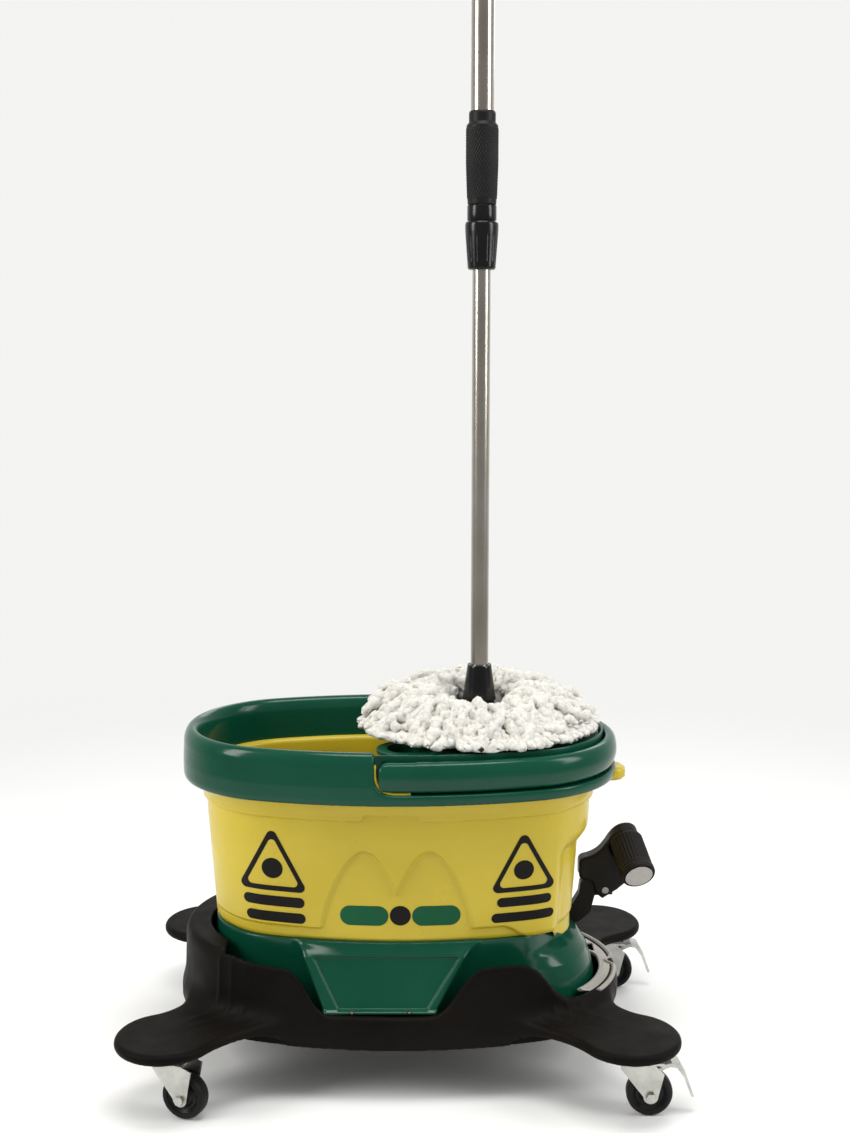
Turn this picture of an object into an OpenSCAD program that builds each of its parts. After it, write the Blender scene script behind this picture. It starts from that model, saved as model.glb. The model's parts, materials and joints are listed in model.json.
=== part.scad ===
// Wheeled spin mop: an oval bucket with a pedal wringer, standing in a rolling dolly,
// with a round mop head on a telescoping pole standing in the wringer basket.
// X runs along the bucket, Y to the back, Z up. The origin is on the floor under the
// middle of the dolly.

/* [Oval plan] */
// Distance from the middle to the centre of each end arc
end_centre = 119; // [117:1:121]
// Radius of the collar's end arcs
end_r = 128; // [126:1:130]

/* [Dolly and casters] */
// Distance from the middle to each caster's swivel, along the length
caster_x = 248; // [244:1:250]
// Distance from the middle to each caster's swivel, along the depth
caster_y = 161; // [158:1:164]
// Radius of the round pad over each caster
pad_r = 55; // [52:1:58]
// Height of the pads' top face
pad_top = 90; // [88:1:92]
// Height of the wall round the bucket's foot
wall_top = 158; // [154:1:160]
// Radius of a caster wheel
wheel_r = 25; // [24:0.5:25.5]
// Distance of a wheel's axle behind its swivel
trail = 22; // [20:1:24]

/* [Bucket] */
// Height of the bucket's foot, where it meets the gear housing
bucket_foot = 170; // [169:0.5:171]
// Height of the flange that carries the collar
rim_top = 341; // [340:0.5:342]
// Thickness of the moulded walls
wall = 3; // [2.5:0.1:3.2]

/* [Wringer] */
// Distance of the basket's axis from the middle, along the length
basket_x = 91; // [90:0.5:92]
// Inner radius of the basket's rim
basket_r = 92; // [90:0.5:92.5]
// Number of drain slots round the basket
slot_count = 20; // [16:1:24]
// Radius of the basket's spindle
spindle_r = 5; // [4.8:0.1:5.2]

/* [Gear train] */
// Gear module: pitch diameter over tooth count
gear_module = 1.5; // [1.5]
// Teeth on the small pinions
pinion_teeth = 12; // [12]
// Teeth on the large gear
wheel_teeth = 40; // [40]
// Pedal travel in degrees
pedal_travel = 30; // [26:1:30]

/* [Mop] */
// Outer radius of the bundle of strands
strand_r = 116; // [113:1:118]
// Outer radius of the lower tube
lower_r = 10; // [9.8:0.1:10.2]
// Outer radius of the upper tube
upper_r = 12.5; // [12.4:0.1:12.8]
// Height of the upper tube's top end
tube_top = 1530; // [1500:5:1540]

/* [Hidden] */
// The oval is four tangent arcs. Their seams lie along (7, 24)/25 from the end centres.
seam = [0.28, 0.96];
side_r = end_r + end_centre / seam[0];
side_centre = (side_r - end_r) * seam[1];
fit = 0.05;              // radial clearance of a running fit
fine = 96;               // facets on large arcs
mid = 48;                // facets on small round parts

plate_top = 75;          // top of the casters' mounting plates
king_r = 5;              // radius of a caster's king pin
cheek_y = 11.5;          // inner face of a fork's cheeks

bucket_taper = 9;        // how far the bucket's wall leans out, foot to band
bucket_inset = -35;      // the foot's offset from the collar's outline
housing_low = 75;        // underside of the gear housing's wall
plate_low = 72;          // underside of the base plate
collar_low = 335;
collar_top = 392;
bail_x = -3;             // bail pivot
bail_z = 365.5;
bail_r = 17.5;
deck_top = 384;
deck_hole = [6, 86, 18.5];

gear_z = 94;             // underside of the large gear
gear_h = 8;
small_z = 84;            // underside of the small pinion and the rack
pinion_pitch = gear_module * pinion_teeth / 2;
wheel_pitch = gear_module * wheel_teeth / 2;
gear_x = basket_x - 36;  // 36, 15 and 39 form a right triangle: 39 is the gears' centre distance
gear_y = 15;
rack_y = gear_y + pinion_pitch;

pedal_y = 43;            // middle plane of the pedal lever
pivot_x = 130;
pivot_z = 128;
crank = 40;              // pivot to crank pin
crank_pin_r = 3;
pin_x = pivot_x + crank * sin(pedal_travel / 2);
pin_z = pivot_z - crank * cos(pedal_travel / 2);
arm_pin = [243, 178];    // pin that joins the arm to the lever, in X and Z
foot_end = [266.2, 38.9, 240];   // where the foot roller leaves the arm
foot_tilt = 120;         // tilt of the roller's axis from the vertical
foot_turn = -78.3;       // turn of the roller's axis about the vertical
foot_length = 58;        // along its axis, from there to its outer face
foot_r = 20;
spring_x = 165;

plate_z = 396;           // underside of the mop plate
tilt_z = 418;            // tilt pin
socket_top = 459;
nut_low = 900;
nut_top = 952;
grip_low = 968;
grip_top = 1055;

// Places of the screws that hold the base plate
SCREWS = [[-178, 62], [-178, -62], [178, 62], [178, -62], [0, 101], [0, -101]];

// Swivel place and turn of each caster: front left, front right, back left, back right
CASTERS = [
  [-caster_x, -caster_y, -20],
  [caster_x, -caster_y, 0],
  [-caster_x, caster_y, 8],
  [caster_x, caster_y, 0]
];

// ---------------------------------------------------------------- oval helpers

// Wedge over the long side, between the seams of the two end arcs
module side_wedge() {
  span = 1200;
  translate([0, -side_centre, -10])
    linear_extrude(height = 1000)
      polygon([[0, 0], [span * seam[0] / seam[1], span], [-span * seam[0] / seam[1], span]]);
}

// Sweeps a profile of [offset from the collar's outline, height] points round the oval
module oval_sweep(profile) {
  for (turn = [0, 180]) {
    rotate([0, 0, turn])
      intersection() {
        translate([0, -side_centre, 0])
          rotate_extrude($fn = 360)
            polygon([for (p = profile) [side_r + p[0], p[1]]]);
        side_wedge();
      }
    rotate([0, 0, turn])
      difference() {
        translate([end_centre, 0, 0])
          rotate_extrude($fn = fine)
            polygon([for (p = profile) [end_r + p[0], p[1]]]);
        side_wedge();
        rotate([0, 0, 180])
          side_wedge();
        translate([end_centre - 300, -300, -10])
          cube([300, 600, 1000]);
      }
  }
}

// Outline of the oval at an offset from the collar's outline
module oval(offset_r) {
  seam_x = end_centre + seam[0] * (end_r + offset_r);
  for (side = [-1, 1])
    translate([side * end_centre, 0])
      circle(r = end_r + offset_r, $fn = fine);
  intersection() {
    translate([0, -side_centre])
      circle(r = side_r + offset_r, $fn = 360);
    translate([0, side_centre])
      circle(r = side_r + offset_r, $fn = 360);
    square([2 * seam_x, 400], center = true);
  }
}

module oval_plate(offset_r, low, height) {
  translate([0, 0, low])
    linear_extrude(height = height)
      oval(offset_r);
}

// Extrudes an outline drawn in X and Z along Y, from y0 to y1
module along_y(y0, y1) {
  translate([0, y1, 0])
    rotate([90, 0, 0])
      linear_extrude(height = y1 - y0)
        children();
}

// Extrudes an outline drawn in Y and Z along X, from x0 to x1
module along_x(x0, x1) {
  translate([x0, 0, 0])
    rotate([90, 0, 90])
      linear_extrude(height = x1 - x0)
        children();
}

module ring(outer, inner, low, high) {
  translate([0, 0, low])
    difference() {
      cylinder(r = outer, h = high - low, $fn = mid);
      translate([0, 0, -1])
        cylinder(r = inner, h = high - low + 2, $fn = mid);
    }
}

// ---------------------------------------------------------------- dolly

// Crossing of two circles, on the left of the line from p to q
function circle_cross(p, p_r, q, q_r) =
  let(
    gap = norm(q - p),
    u = (q - p) / gap,
    along = (gap * gap + p_r * p_r - q_r * q_r) / (2 * gap),
    across = sqrt(p_r * p_r - along * along)
  )
  p + along * u + across * [-u[1], u[0]];

// One corner of the dolly: the pad and the arm that widens into the wall round the bucket,
// with a concave curve on each side. inset pulls the outline in.
module dolly_corner(inset) {
  pad = [caster_x, caster_y];
  long_r = 110;          // concave curve towards the long side
  end_curve_r = 55;      // concave curve towards the end
  wall_r = 2;            // how far the arm's root stands outside the collar's outline
  long_c = circle_cross([0, -side_centre], side_r + wall_r + long_r, pad, pad_r + long_r);
  end_c = circle_cross(pad, pad_r + end_curve_r, [end_centre, 0], end_r + wall_r + end_curve_r);
  long_foot = [0, -side_centre]
    + (side_r - 20) / (side_r + wall_r + long_r) * (long_c - [0, -side_centre]);
  end_foot = [end_centre, 0]
    + (end_r - 20) / (end_r + wall_r + end_curve_r) * (end_c - [end_centre, 0]);
  translate(pad)
    circle(r = pad_r - inset, $fn = mid);
  difference() {
    polygon([pad, long_c, long_foot, [end_centre, 0], end_foot, end_c]);
    translate(long_c)
      circle(r = long_r + inset, $fn = fine);
    translate(end_c)
      circle(r = end_curve_r + inset, $fn = fine);
  }
}

module dolly_outline(inset) {
  oval(2 - inset);
  for (mx = [0, 1])
    for (my = [0, 1])
      mirror([mx, 0])
        mirror([0, my])
          dolly_corner(inset);
}

module at_casters() {
  for (c = CASTERS)
    translate([c[0], c[1], 0])
      rotate([0, 0, c[2]])
        children();
}

module dolly_deck() {
  skirt_low = 78;
  foot_low = 64;
  cut_low = 100;
  color([0.07, 0.07, 0.07])
  difference() {
    union() {
      difference() {
        translate([0, 0, skirt_low])
          linear_extrude(height = pad_top - skirt_low)
            dolly_outline(0);
        translate([0, 0, skirt_low - 1])
          linear_extrude(height = pad_top - skirt_low - 4)
            dolly_outline(4);
        oval_plate(-2, skirt_low - 2, 50);
      }
      oval_sweep([
        [3, foot_low], [3, cut_low], [1, wall_top - 8], [-1, wall_top - 2], [-4, wall_top],
        [-28, wall_top], [-28, wall_top - 10], [-25, wall_top - 10], [-25, wall_top - 4],
        [-5, wall_top - 4], [-3, wall_top - 8], [-1, cut_low], [-1, foot_low]
      ]);
      oval_plate(-0.5, plate_low - 5, 5);
      for (c = CASTERS)
        translate([c[0], c[1], plate_low + 3])
          cylinder(r = 30, h = pad_top - plate_low - 5, $fn = mid);
    }
    // Trapezoid cut-out in front of the gear housing
    along_y(-170, -100)
      polygon([[-114, wall_top + 5], [87, wall_top + 5], [44, cut_low], [-84, cut_low]]);
    // The right end's wall is low, so that the pedal can come down over it
    along_x(150, 260)
      polygon([[-93, wall_top + 5], [-83, cut_low], [100, cut_low], [110, wall_top + 5]]);
  }
}

module trim_plate() {
  color([0.62, 0.6, 0.57])
  difference() {
    intersection() {
      oval_sweep([[-15, 100], [5, 100], [6, 102], [4, 104.5], [1, 104], [0, 103], [-15, 103]]);
      translate([150, -80, 90])
        cube([120, 178, 30]);
    }
    // Notch in the inner edge, which the pressed pedal lever dips into
    translate([150, pedal_y - 10, 90])
      cube([81, 20, 30]);
  }
}

// ---------------------------------------------------------------- casters

module caster_plates() {
  color([0.72, 0.72, 0.7])
  at_casters() {
    difference() {
      translate([-25, -23, plate_top - 2.5])
        cube([50, 46, 2.5]);
      for (sx = [-1, 1])
        for (sy = [-1, 1])
          translate([sx * 19, sy * 17, plate_top - 5])
            cylinder(r = 2.5, h = 10, $fn = 24);
    }
    translate([0, 0, 66.3])
      cylinder(r = 18, h = plate_top - 66.3, $fn = mid);
    translate([0, 0, 57])
      cylinder(r = king_r, h = 12, $fn = mid);
    translate([0, 0, 54.5])
      cylinder(r = 8, h = 5.3, $fn = mid);
  }
}

// The fork in its own frame: swivel on the Z axis, wheel behind it on +X
module fork(braked) {
  difference() {
    union() {
      translate([0, 0, 60])
        cylinder(r = 17, h = 6, $fn = mid);
      translate([-10, -13.5, 60])
        cube([braked ? 46 : 34, 27, 2.5]);
      for (side = [-1, 1])
        along_y(side > 0 ? cheek_y : -cheek_y - 2, side > 0 ? cheek_y + 2 : -cheek_y) {
          translate([trail, wheel_r])
            circle(r = 8, $fn = mid);
          polygon([[-10, 62.5], [-10, 56], [14, 25], [30, 25], [36, braked ? 50 : 58], [24, 62.5]]);
        }
      if (braked)
        along_y(-cheek_y - 1, cheek_y + 1)
          translate([31, 55])
            circle(r = 2, $fn = 24);
    }
    translate([0, 0, 50])
      cylinder(r = king_r + fit, h = 30, $fn = mid);
    along_y(-20, 20)
      translate([trail, wheel_r])
        circle(r = 3 + fit, $fn = mid);
    // Room for the king pin's head
    translate([0, 0, 50])
      cylinder(r = 9, h = 10, $fn = mid);
    if (braked)
      translate([26, -8, 59])
        cube([20, 16, 5]);
  }
}

module place(i) {
  translate([CASTERS[i][0], CASTERS[i][1], 0])
    rotate([0, 0, CASTERS[i][2]])
      children();
}

module caster_fork(i) {
  color([0.74, 0.74, 0.72])
  place(i)
    fork(CASTERS[i][0] > 0);
}

// A wheel part, turned about the axle: profile of [radius, place along the axle]
module on_axle(i) {
  place(i)
    translate([trail, 0, wheel_r])
      rotate([90, 0, 0])
        rotate_extrude($fn = fine)
          children();
}

module wheel_core(i) {
  bore = 3 + fit;
  color([0.12, 0.12, 0.12])
  on_axle(i)
    polygon([
      [bore, -10.5], [8, -10.5], [8, -8], [12, -4], [15, -4], [18, -7],
      [18, 7], [15, 4], [12, 4], [8, 8], [8, 10.5], [bore, 10.5]
    ]);
}

module wheel_tyre(i) {
  color([0.06, 0.06, 0.06])
  on_axle(i)
    polygon([
      [18, -8], [21, -9], [23.5, -8], [wheel_r - 0.3, -5], [wheel_r, 0],
      [wheel_r - 0.3, 5], [23.5, 8], [21, 9], [18, 8]
    ]);
}

module axle_bolt(i) {
  color([0.7, 0.7, 0.68])
  place(i)
    translate([trail, 0, wheel_r])
      rotate([90, 0, 0]) {
        translate([0, 0, -15])
          cylinder(r = 3, h = 30, $fn = mid);
        translate([0, 0, 13.5])
          cylinder(r = 5.5, h = 4, $fn = 6);
        translate([0, 0, -17.5])
          cylinder(r = 5.5, h = 4, $fn = 6);
      }
}

// Foot brake of a right-hand caster: a sheet lever, pivoted between the fork's cheeks
module brake_lever(i) {
  color([0.78, 0.78, 0.76])
  place(i)
    difference() {
      union() {
        intersection() {
          along_y(-11, 11)
            polygon([
              [31, 58], [44, 62], [53, 60], [61, 46], [70, 20],
              [67, 20], [58, 44], [50, 56], [43, 57.5], [33, 52.2]
            ]);
          translate([0, 0, 10])
            linear_extrude(height = 60)
              polygon([[25, -8], [45, -10.8], [52, -9], [71, -2.5], [71, 2.5], [52, 9], [45, 10.8], [25, 8]]);
        }
        along_y(-7, 7)
          translate([31, 55])
            circle(r = 4, $fn = mid);
      }
      along_y(-20, 20)
        translate([31, 55])
          circle(r = 2 + fit, $fn = 24);
    }
}

// ---------------------------------------------------------------- gear housing and bucket

module pedal_slot() {
  translate([190, pedal_y - 10, 88])
    cube([60, 20, bucket_foot - 88]);
}

module base_housing() {
  front_low = 100.4;
  color([0.02, 0.3, 0.2])
  difference() {
    union() {
      oval_sweep([
        [bucket_inset + 1, housing_low], [bucket_inset - wall - 1, housing_low],
        [bucket_inset - wall - 1, bucket_foot], [bucket_inset, bucket_foot]
      ]);
      // Bosses for the base plate's screws
      for (p = SCREWS)
        translate([p[0], p[1], housing_low])
          cylinder(r = 7, h = 20, $fn = mid);
      // Front bulge, a trapezoid that fills the dolly's cut-out
      intersection() {
        along_x(-130, 110)
          polygon([
            [-104, bucket_foot - 3], [-114, bucket_foot - 3], [-119, bucket_foot - 12],
            [-137, 105], [-142, 103], [-142, front_low], [-104, front_low]
          ]);
        along_y(-150, -100)
          polygon([[-109, bucket_foot], [82, bucket_foot], [40, front_low], [-80, front_low]]);
      }
      // Flared right end
      intersection() {
        oval_plate(-21, 86, bucket_foot - 90);
        along_y(-74, 74)
          polygon([[190, 166], [211, 166], [217, 140], [227, 96], [227, 86], [190, 86]]);
      }
    }
    difference() {
      oval_plate(bucket_inset - wall - 0.5, housing_low - 1, bucket_foot);
      for (p = SCREWS)
        translate([p[0], p[1], 0])
          cylinder(r = 7, h = 100, $fn = mid);
    }
    for (p = SCREWS)
      translate([p[0], p[1], 0])
        cylinder(r = 2, h = 90, $fn = 24);
    // Recessed front panel
    intersection() {
      along_x(-95, 70)
        polygon([[-150, 158], [-115.6, 158], [-131.9, 105], [-150, 105]]);
      along_y(-150, -100)
        polygon([[-93, 158], [67, 158], [31, 105], [-65, 105]]);
    }
    pedal_slot();
    for (x = [-50, 12])
      translate([x, -139.5, front_low - 5])
        cylinder(r = 1.6, h = 20, $fn = 24);
  }
}

module base_plate() {
  color([0.1, 0.1, 0.1])
  difference() {
    union() {
      oval_plate(bucket_inset + 1, plate_low, housing_low - plate_low);
      // Boss for the spindle's lower bush
      translate([basket_x, 0, plate_low])
        cylinder(r = 12, h = 11, $fn = mid);
      // Boss for the gear axle
      translate([gear_x, gear_y, plate_low])
        cylinder(r = 8, h = 9, $fn = mid);
      // Brackets for the pedal's pivot pin
      for (y = [pedal_y - 17, pedal_y + 13])
        along_y(y, y + 4)
          polygon([[144, plate_low], [166, plate_low], [142, 140], [120, 140]]);
      // Guides that keep the rack in mesh
      for (x = [62, 100])
        translate([x, rack_y + 12.3, plate_low])
          cube([6, 3, 18]);
      for (x = [44, 84])
        translate([x, rack_y + 3, plate_low])
          cube([6, 8, small_z - plate_low - 0.2]);
      // Seat of the return spring
      translate([spring_x, pedal_y, plate_low])
        cylinder(r = 6, h = 8, $fn = mid);
    }
    translate([basket_x, 0, plate_low + 2])
      cylinder(r = 7, h = 20, $fn = mid);
    translate([gear_x, gear_y, plate_low + 2])
      cylinder(r = 4, h = 20, $fn = mid);
    along_y(0, 80)
      translate([pivot_x, pivot_z])
        circle(r = 5, $fn = mid);
    for (p = SCREWS)
      translate([p[0], p[1], plate_low - 1]) {
        cylinder(r = 2.1, h = 10, $fn = 24);
        cylinder(r = 4.2, h = 2.8, $fn = 24);
      }
  }
}

// Six screws up through the base plate, and the two in the front ledge
module housing_screws() {
  color("silver") {
    for (p = SCREWS)
      translate([p[0], p[1], plate_low + 0.2]) {
        cylinder(r = 4, h = 1.6, $fn = 24);
        cylinder(r = 2, h = 14, $fn = 24);
      }
    for (x = [-50, 12])
      translate([x, -139.5, 0]) {
        translate([0, 0, 100.5])
          cylinder(r = 1.5, h = 4, $fn = 24);
        translate([0, 0, 104])
          cylinder(r = 2.4, h = 1.2, $fn = 24);
      }
  }
}

module bucket() {
  low_inset = bucket_inset;
  high_inset = bucket_inset + bucket_taper;
  tube_r = 16;
  color([0.95, 0.86, 0.15])
  difference() {
    union() {
      oval_sweep([
        [low_inset, bucket_foot], [high_inset, 290], [high_inset + 1, 314],
        [high_inset + 4, 317], [high_inset + 4, 334], [-4, 336], [-4, rim_top],
        [high_inset - wall, rim_top], [high_inset - wall, 290],
        [low_inset - wall, bucket_foot + 4], [low_inset - wall, bucket_foot]
      ]);
      oval_plate(low_inset - wall + 0.5, bucket_foot, 4);
      // Standpipe that keeps the water off the spindle
      translate([basket_x, 0, bucket_foot])
        cylinder(r = tube_r, h = 284 - bucket_foot, $fn = mid);
      // Lifting tab at the right end, below the collar
      translate([0, 0, 325])
        linear_extrude(height = 9)
          translate([242, 0])
            circle(r = 20, $fn = mid);
      translate([0, 0, 330])
        linear_extrude(height = 14)
          difference() {
            translate([242, 0])
              circle(r = 20, $fn = mid);
            translate([200, -30])
              square([49, 60]);
          }
    }
    translate([basket_x, 0, bucket_foot - 1])
      cylinder(r = tube_r - 4, h = 200, $fn = mid);
  }
}

module collar() {
  skin = [
    [-3, collar_low], [0, 338], [0, 352], [-2, 372], [-5, 386], [-9, 391], [-13, collar_top],
    [-17, 390], [-19, 385], [-20, rim_top]
  ];
  hollow = [
    [-17, rim_top], [-17, 383], [-15.5, 387.5], [-13, 389], [-10.5, 388], [-8, 384],
    [-5, 371], [-3, 352]
  ];
  recess = [
    [-3, collar_low], [0, 338], [0, 345], [-1, 346.5], [-15, 347], [-15, 390],
    [-16, collar_top], [-18, collar_top], [-20, 388], [-20, rim_top],
    [-17, rim_top], [-17, 344], [-3, 344]
  ];
  recess_x = -25;
  color([0.02, 0.32, 0.2]) {
    // Left half: a hollow rounded rim
    intersection() {
      oval_sweep(concat(skin, hollow));
      translate([-300, -200, 300])
        cube([300 + recess_x - 2, 400, 150]);
    }
    // End walls of the recess
    intersection() {
      oval_sweep(concat(skin, [[-3, rim_top]]));
      translate([recess_x - 3, -200, 300])
        cube([3, 400, 150]);
    }
    // Right half: a low flange in front of a wall, with room for the bail
    intersection() {
      oval_sweep(recess);
      translate([recess_x - 0.5, -200, 300])
        cube([300, 400, 150]);
    }
  }
}

module wringer_deck() {
  color([0.02, 0.32, 0.2])
  difference() {
    union() {
      intersection() {
        oval_plate(-20.2, deck_top - 4, 4);
        union() {
          translate([18, -200, 350])
            cube([300, 400, 50]);
          for (side = [-1, 1])
            translate([deck_hole[0], side * deck_hole[1], 350])
              cylinder(r = 30, h = 50, $fn = mid);
        }
      }
      // Legs down to the bucket's rim
      intersection() {
        oval_sweep([[-21, rim_top], [-21, deck_top - 1], [-23.5, deck_top - 1], [-23.5, rim_top]]);
        translate([120, -200, 300])
          cube([200, 400, 200]);
      }
      // Skirt round the basket, and a sleeve under each small hole
      translate([basket_x, 0, 345])
        cylinder(r = basket_r + 8.5, h = deck_top - 346, $fn = fine);
      for (side = [-1, 1])
        translate([deck_hole[0], side * deck_hole[1], deck_top - 14])
          cylinder(r = deck_hole[2] + 2.5, h = 13, $fn = mid);
    }
    translate([basket_x, 0, 300])
      cylinder(r = basket_r + 6, h = 100, $fn = fine);
    for (side = [-1, 1])
      translate([deck_hole[0], side * deck_hole[1], 300])
        cylinder(r = deck_hole[2], h = 100, $fn = mid);
  }
}

module spindle_bushes() {
  color([0.8, 0.78, 0.7])
  translate([basket_x, 0, 0]) {
    ring(7, spindle_r + fit, plate_low + 2, 83);
    ring(12, spindle_r + fit, 270, 284);
  }
}

// ---------------------------------------------------------------- bail

module bail_handle() {
  inner = -13.5;
  color([0.02, 0.36, 0.22])
  difference() {
    union() {
      intersection() {
        oval_sweep([
          [inner, 349], [-2.5, 348.2], [0, 352], [0.5, 366], [-1, 379], [-4, 383], [inner, 383]
        ]);
        translate([bail_x, -200, 300])
          cube([300, 400, 150]);
      }
      for (side = [-1, 1])
        along_y(side > 0 ? 131.5 : -145, side > 0 ? 145 : -131.5)
          translate([bail_x, bail_z])
            circle(r = bail_r, $fn = mid);
    }
    for (side = [-1, 1])
      along_y(side > 0 ? 125 : -141, side > 0 ? 141 : -125)
        translate([bail_x, bail_z])
          circle(r = 5 + fit, $fn = mid);
  }
}

module bail_pins() {
  color("silver")
  for (side = [-1, 1])
    along_y(side > 0 ? 130 : -140, side > 0 ? 140 : -130)
      translate([bail_x, bail_z])
        circle(r = 5, $fn = mid);
}

// ---------------------------------------------------------------- basket and gear train

module basket_spindle() {
  color("silver")
  translate([basket_x, 0, 0]) {
    translate([0, 0, plate_low + 4])
      cylinder(r = spindle_r, h = 308 - plate_low - 4, $fn = mid);
    translate([0, 0, 284.3])
      cylinder(r = 9, h = 3.7, $fn = mid);
  }
}

module spin_basket() {
  floor_low = 290;
  rim_low = 381;
  rim_high = 386;
  color([0.03, 0.28, 0.18])
  translate([basket_x, 0, 0])
  difference() {
    rotate_extrude($fn = fine)
      polygon([
        [spindle_r, 288], [14, 288], [20, floor_low], [basket_r - 12, floor_low],
        [basket_r - 8, floor_low + 4], [basket_r + 2.5, rim_low], [basket_r + 3.5, rim_low],
        [basket_r + 3.5, rim_high], [basket_r, rim_high], [basket_r - 11, floor_low + 5],
        [basket_r - 12, floor_low + 3.5], [16, floor_low + 3.5], [14, 298], [spindle_r, 298]
      ]);
    for (i = [0:slot_count - 1])
      rotate([0, 0, i * 360 / slot_count])
        translate([basket_r - 25, -3, floor_low + 14])
          cube([50, 6, 62]);
  }
}

module basket_nut() {
  color("silver")
  translate([basket_x, 0, 298])
    difference() {
      cylinder(r = 9, h = 7, $fn = 6);
      translate([0, 0, -1])
        cylinder(r = spindle_r, h = 10, $fn = mid);
    }
}

// Spur gear with straight-sided teeth. One tooth points at the angle phase.
module gear(teeth, height, phase) {
  pitch_r = gear_module * teeth / 2;
  tip_r = pitch_r + 0.75 * gear_module;
  root_r = pitch_r - gear_module;
  step = 360 / teeth;
  root_half = 0.30 * step;
  tip_half = (teeth > 20 ? 0.14 : 0.10) * step;
  linear_extrude(height = height)
    polygon([
      for (i = [0:teeth - 1])
        for (q = [[-root_half, root_r], [-tip_half, tip_r], [tip_half, tip_r], [root_half, root_r]])
          let(a = phase + i * step + q[0]) q[1] * [cos(a), sin(a)]
    ]);
}

// Direction from the large gear to the clutch gear
mesh_angle = atan2(-gear_y, basket_x - gear_x);

module compound_gear() {
  color([0.85, 0.85, 0.82])
  translate([gear_x, gear_y, 0])
    difference() {
      union() {
        translate([0, 0, small_z])
          gear(pinion_teeth, gear_z - small_z + 1, 90);
        translate([0, 0, gear_z])
          gear(wheel_teeth, gear_h, mesh_angle);
      }
      cylinder(r = 4 + fit, h = 200, $fn = mid);
    }
}

module gear_axle() {
  color("silver")
  translate([gear_x, gear_y, 0]) {
    translate([0, 0, plate_low + 2])
      cylinder(r = 4, h = gear_z + gear_h - plate_low, $fn = mid);
    translate([0, 0, gear_z + gear_h + 0.5])
      cylinder(r = 7, h = 2, $fn = mid);
  }
}

module clutch_gear() {
  cup_low = gear_z + gear_h;
  color([0.85, 0.85, 0.82])
  translate([basket_x, 0, 0])
    difference() {
      union() {
        translate([0, 0, gear_z])
          gear(pinion_teeth, gear_h + 1, mesh_angle + 180 + 180 / pinion_teeth);
        translate([0, 0, cup_low + 0.6])
          cylinder(r = 20, h = 15, $fn = mid);
      }
      translate([0, 0, cup_low + 3])
        cylinder(r = 17, h = 20, $fn = mid);
      cylinder(r = spindle_r + fit, h = 200, $fn = mid);
    }
}

// Inner part of the one-way clutch: three ramps, each with a roller
module clutch_hub() {
  color([0.5, 0.5, 0.5])
  translate([basket_x, 0, gear_z + gear_h + 4])
    difference() {
      linear_extrude(height = 11)
        difference() {
          circle(r = 15.5, $fn = mid);
          for (i = [0:2])
            rotate(i * 120)
              translate([11, -6])
                square([10, 9]);
        }
      translate([0, 0, -1])
        cylinder(r = spindle_r, h = 20, $fn = mid);
    }
}

module clutch_rollers() {
  color("silver")
  translate([basket_x, 0, gear_z + gear_h + 5])
    for (i = [0:2])
      rotate([0, 0, i * 120])
        translate([13.6, -1, 0])
          cylinder(r = 2.5, h = 9, $fn = mid);
}

module rack() {
  pitch = PI * gear_module;
  back_y = rack_y + 12;
  yoke_low = 80;
  yoke_high = 99;
  color([0.85, 0.85, 0.82])
  difference() {
    union() {
      translate([0, 0, small_z])
        linear_extrude(height = gear_h)
          union() {
            translate([gear_x - 14, rack_y + gear_module])
              square([pin_x - 7.5 - gear_x + 14 + 1, back_y - rack_y - gear_module]);
            for (i = [-3:8])
              translate([gear_x + (i + 0.5) * pitch, rack_y])
                polygon([
                  [-0.3 * pitch, gear_module + 0.1], [-0.12 * pitch, -0.75 * gear_module],
                  [0.12 * pitch, -0.75 * gear_module], [0.3 * pitch, gear_module + 0.1]
                ]);
          }
      translate([pin_x - 7.5, pedal_y - 9, yoke_low])
        cube([15, 12, yoke_high - yoke_low]);
    }
    // Upright slot for the crank pin
    translate([pin_x - crank_pin_r - 0.4, pedal_y - 20, 84])
      cube([2 * crank_pin_r + 0.8, 40, 10.5]);
  }
}

// ---------------------------------------------------------------- pedal

module pedal_lever() {
  color([0.08, 0.075, 0.07])
  difference() {
    union() {
      along_y(pedal_y - 7, pedal_y + 7) {
        polygon([
          [pivot_x + 1, pivot_z - 10], [212, 137], [226, 149], [231, 170], [252, 171], [253, 184],
          [240, 190], [222, 190], [214, 186], [212, 172], [204, 158], [pivot_x - 1, pivot_z + 10]
        ]);
      }
      along_y(pedal_y - 12, pedal_y + 12)
        translate([pivot_x, pivot_z])
          circle(r = 10, $fn = mid);
      // Crank arm, beside the rack's yoke
      along_y(pedal_y + 4, pedal_y + 10)
        union() {
          translate([pin_x, pin_z])
            circle(r = 6, $fn = mid);
          translate([pivot_x, pivot_z])
            rotate([0, 0, pedal_travel / 2])
              translate([-6, -crank])
                square([12, crank]);
        }
      along_y(pedal_y - 9, pedal_y + 8)
        translate([pin_x, pin_z])
          circle(r = crank_pin_r, $fn = mid);
      // Spigot over the return spring
      translate([spring_x, pedal_y, 122])
        cylinder(r = 6, h = 10, $fn = mid);
    }
    along_y(0, 90)
      translate([pivot_x, pivot_z])
        circle(r = 5 + fit, $fn = mid);
    along_y(0, 90)
      translate(arm_pin)
        circle(r = 4, $fn = mid);
  }
}

module at_foot() {
  translate(foot_end)
    rotate([0, foot_tilt, foot_turn])
      children();
}

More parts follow.
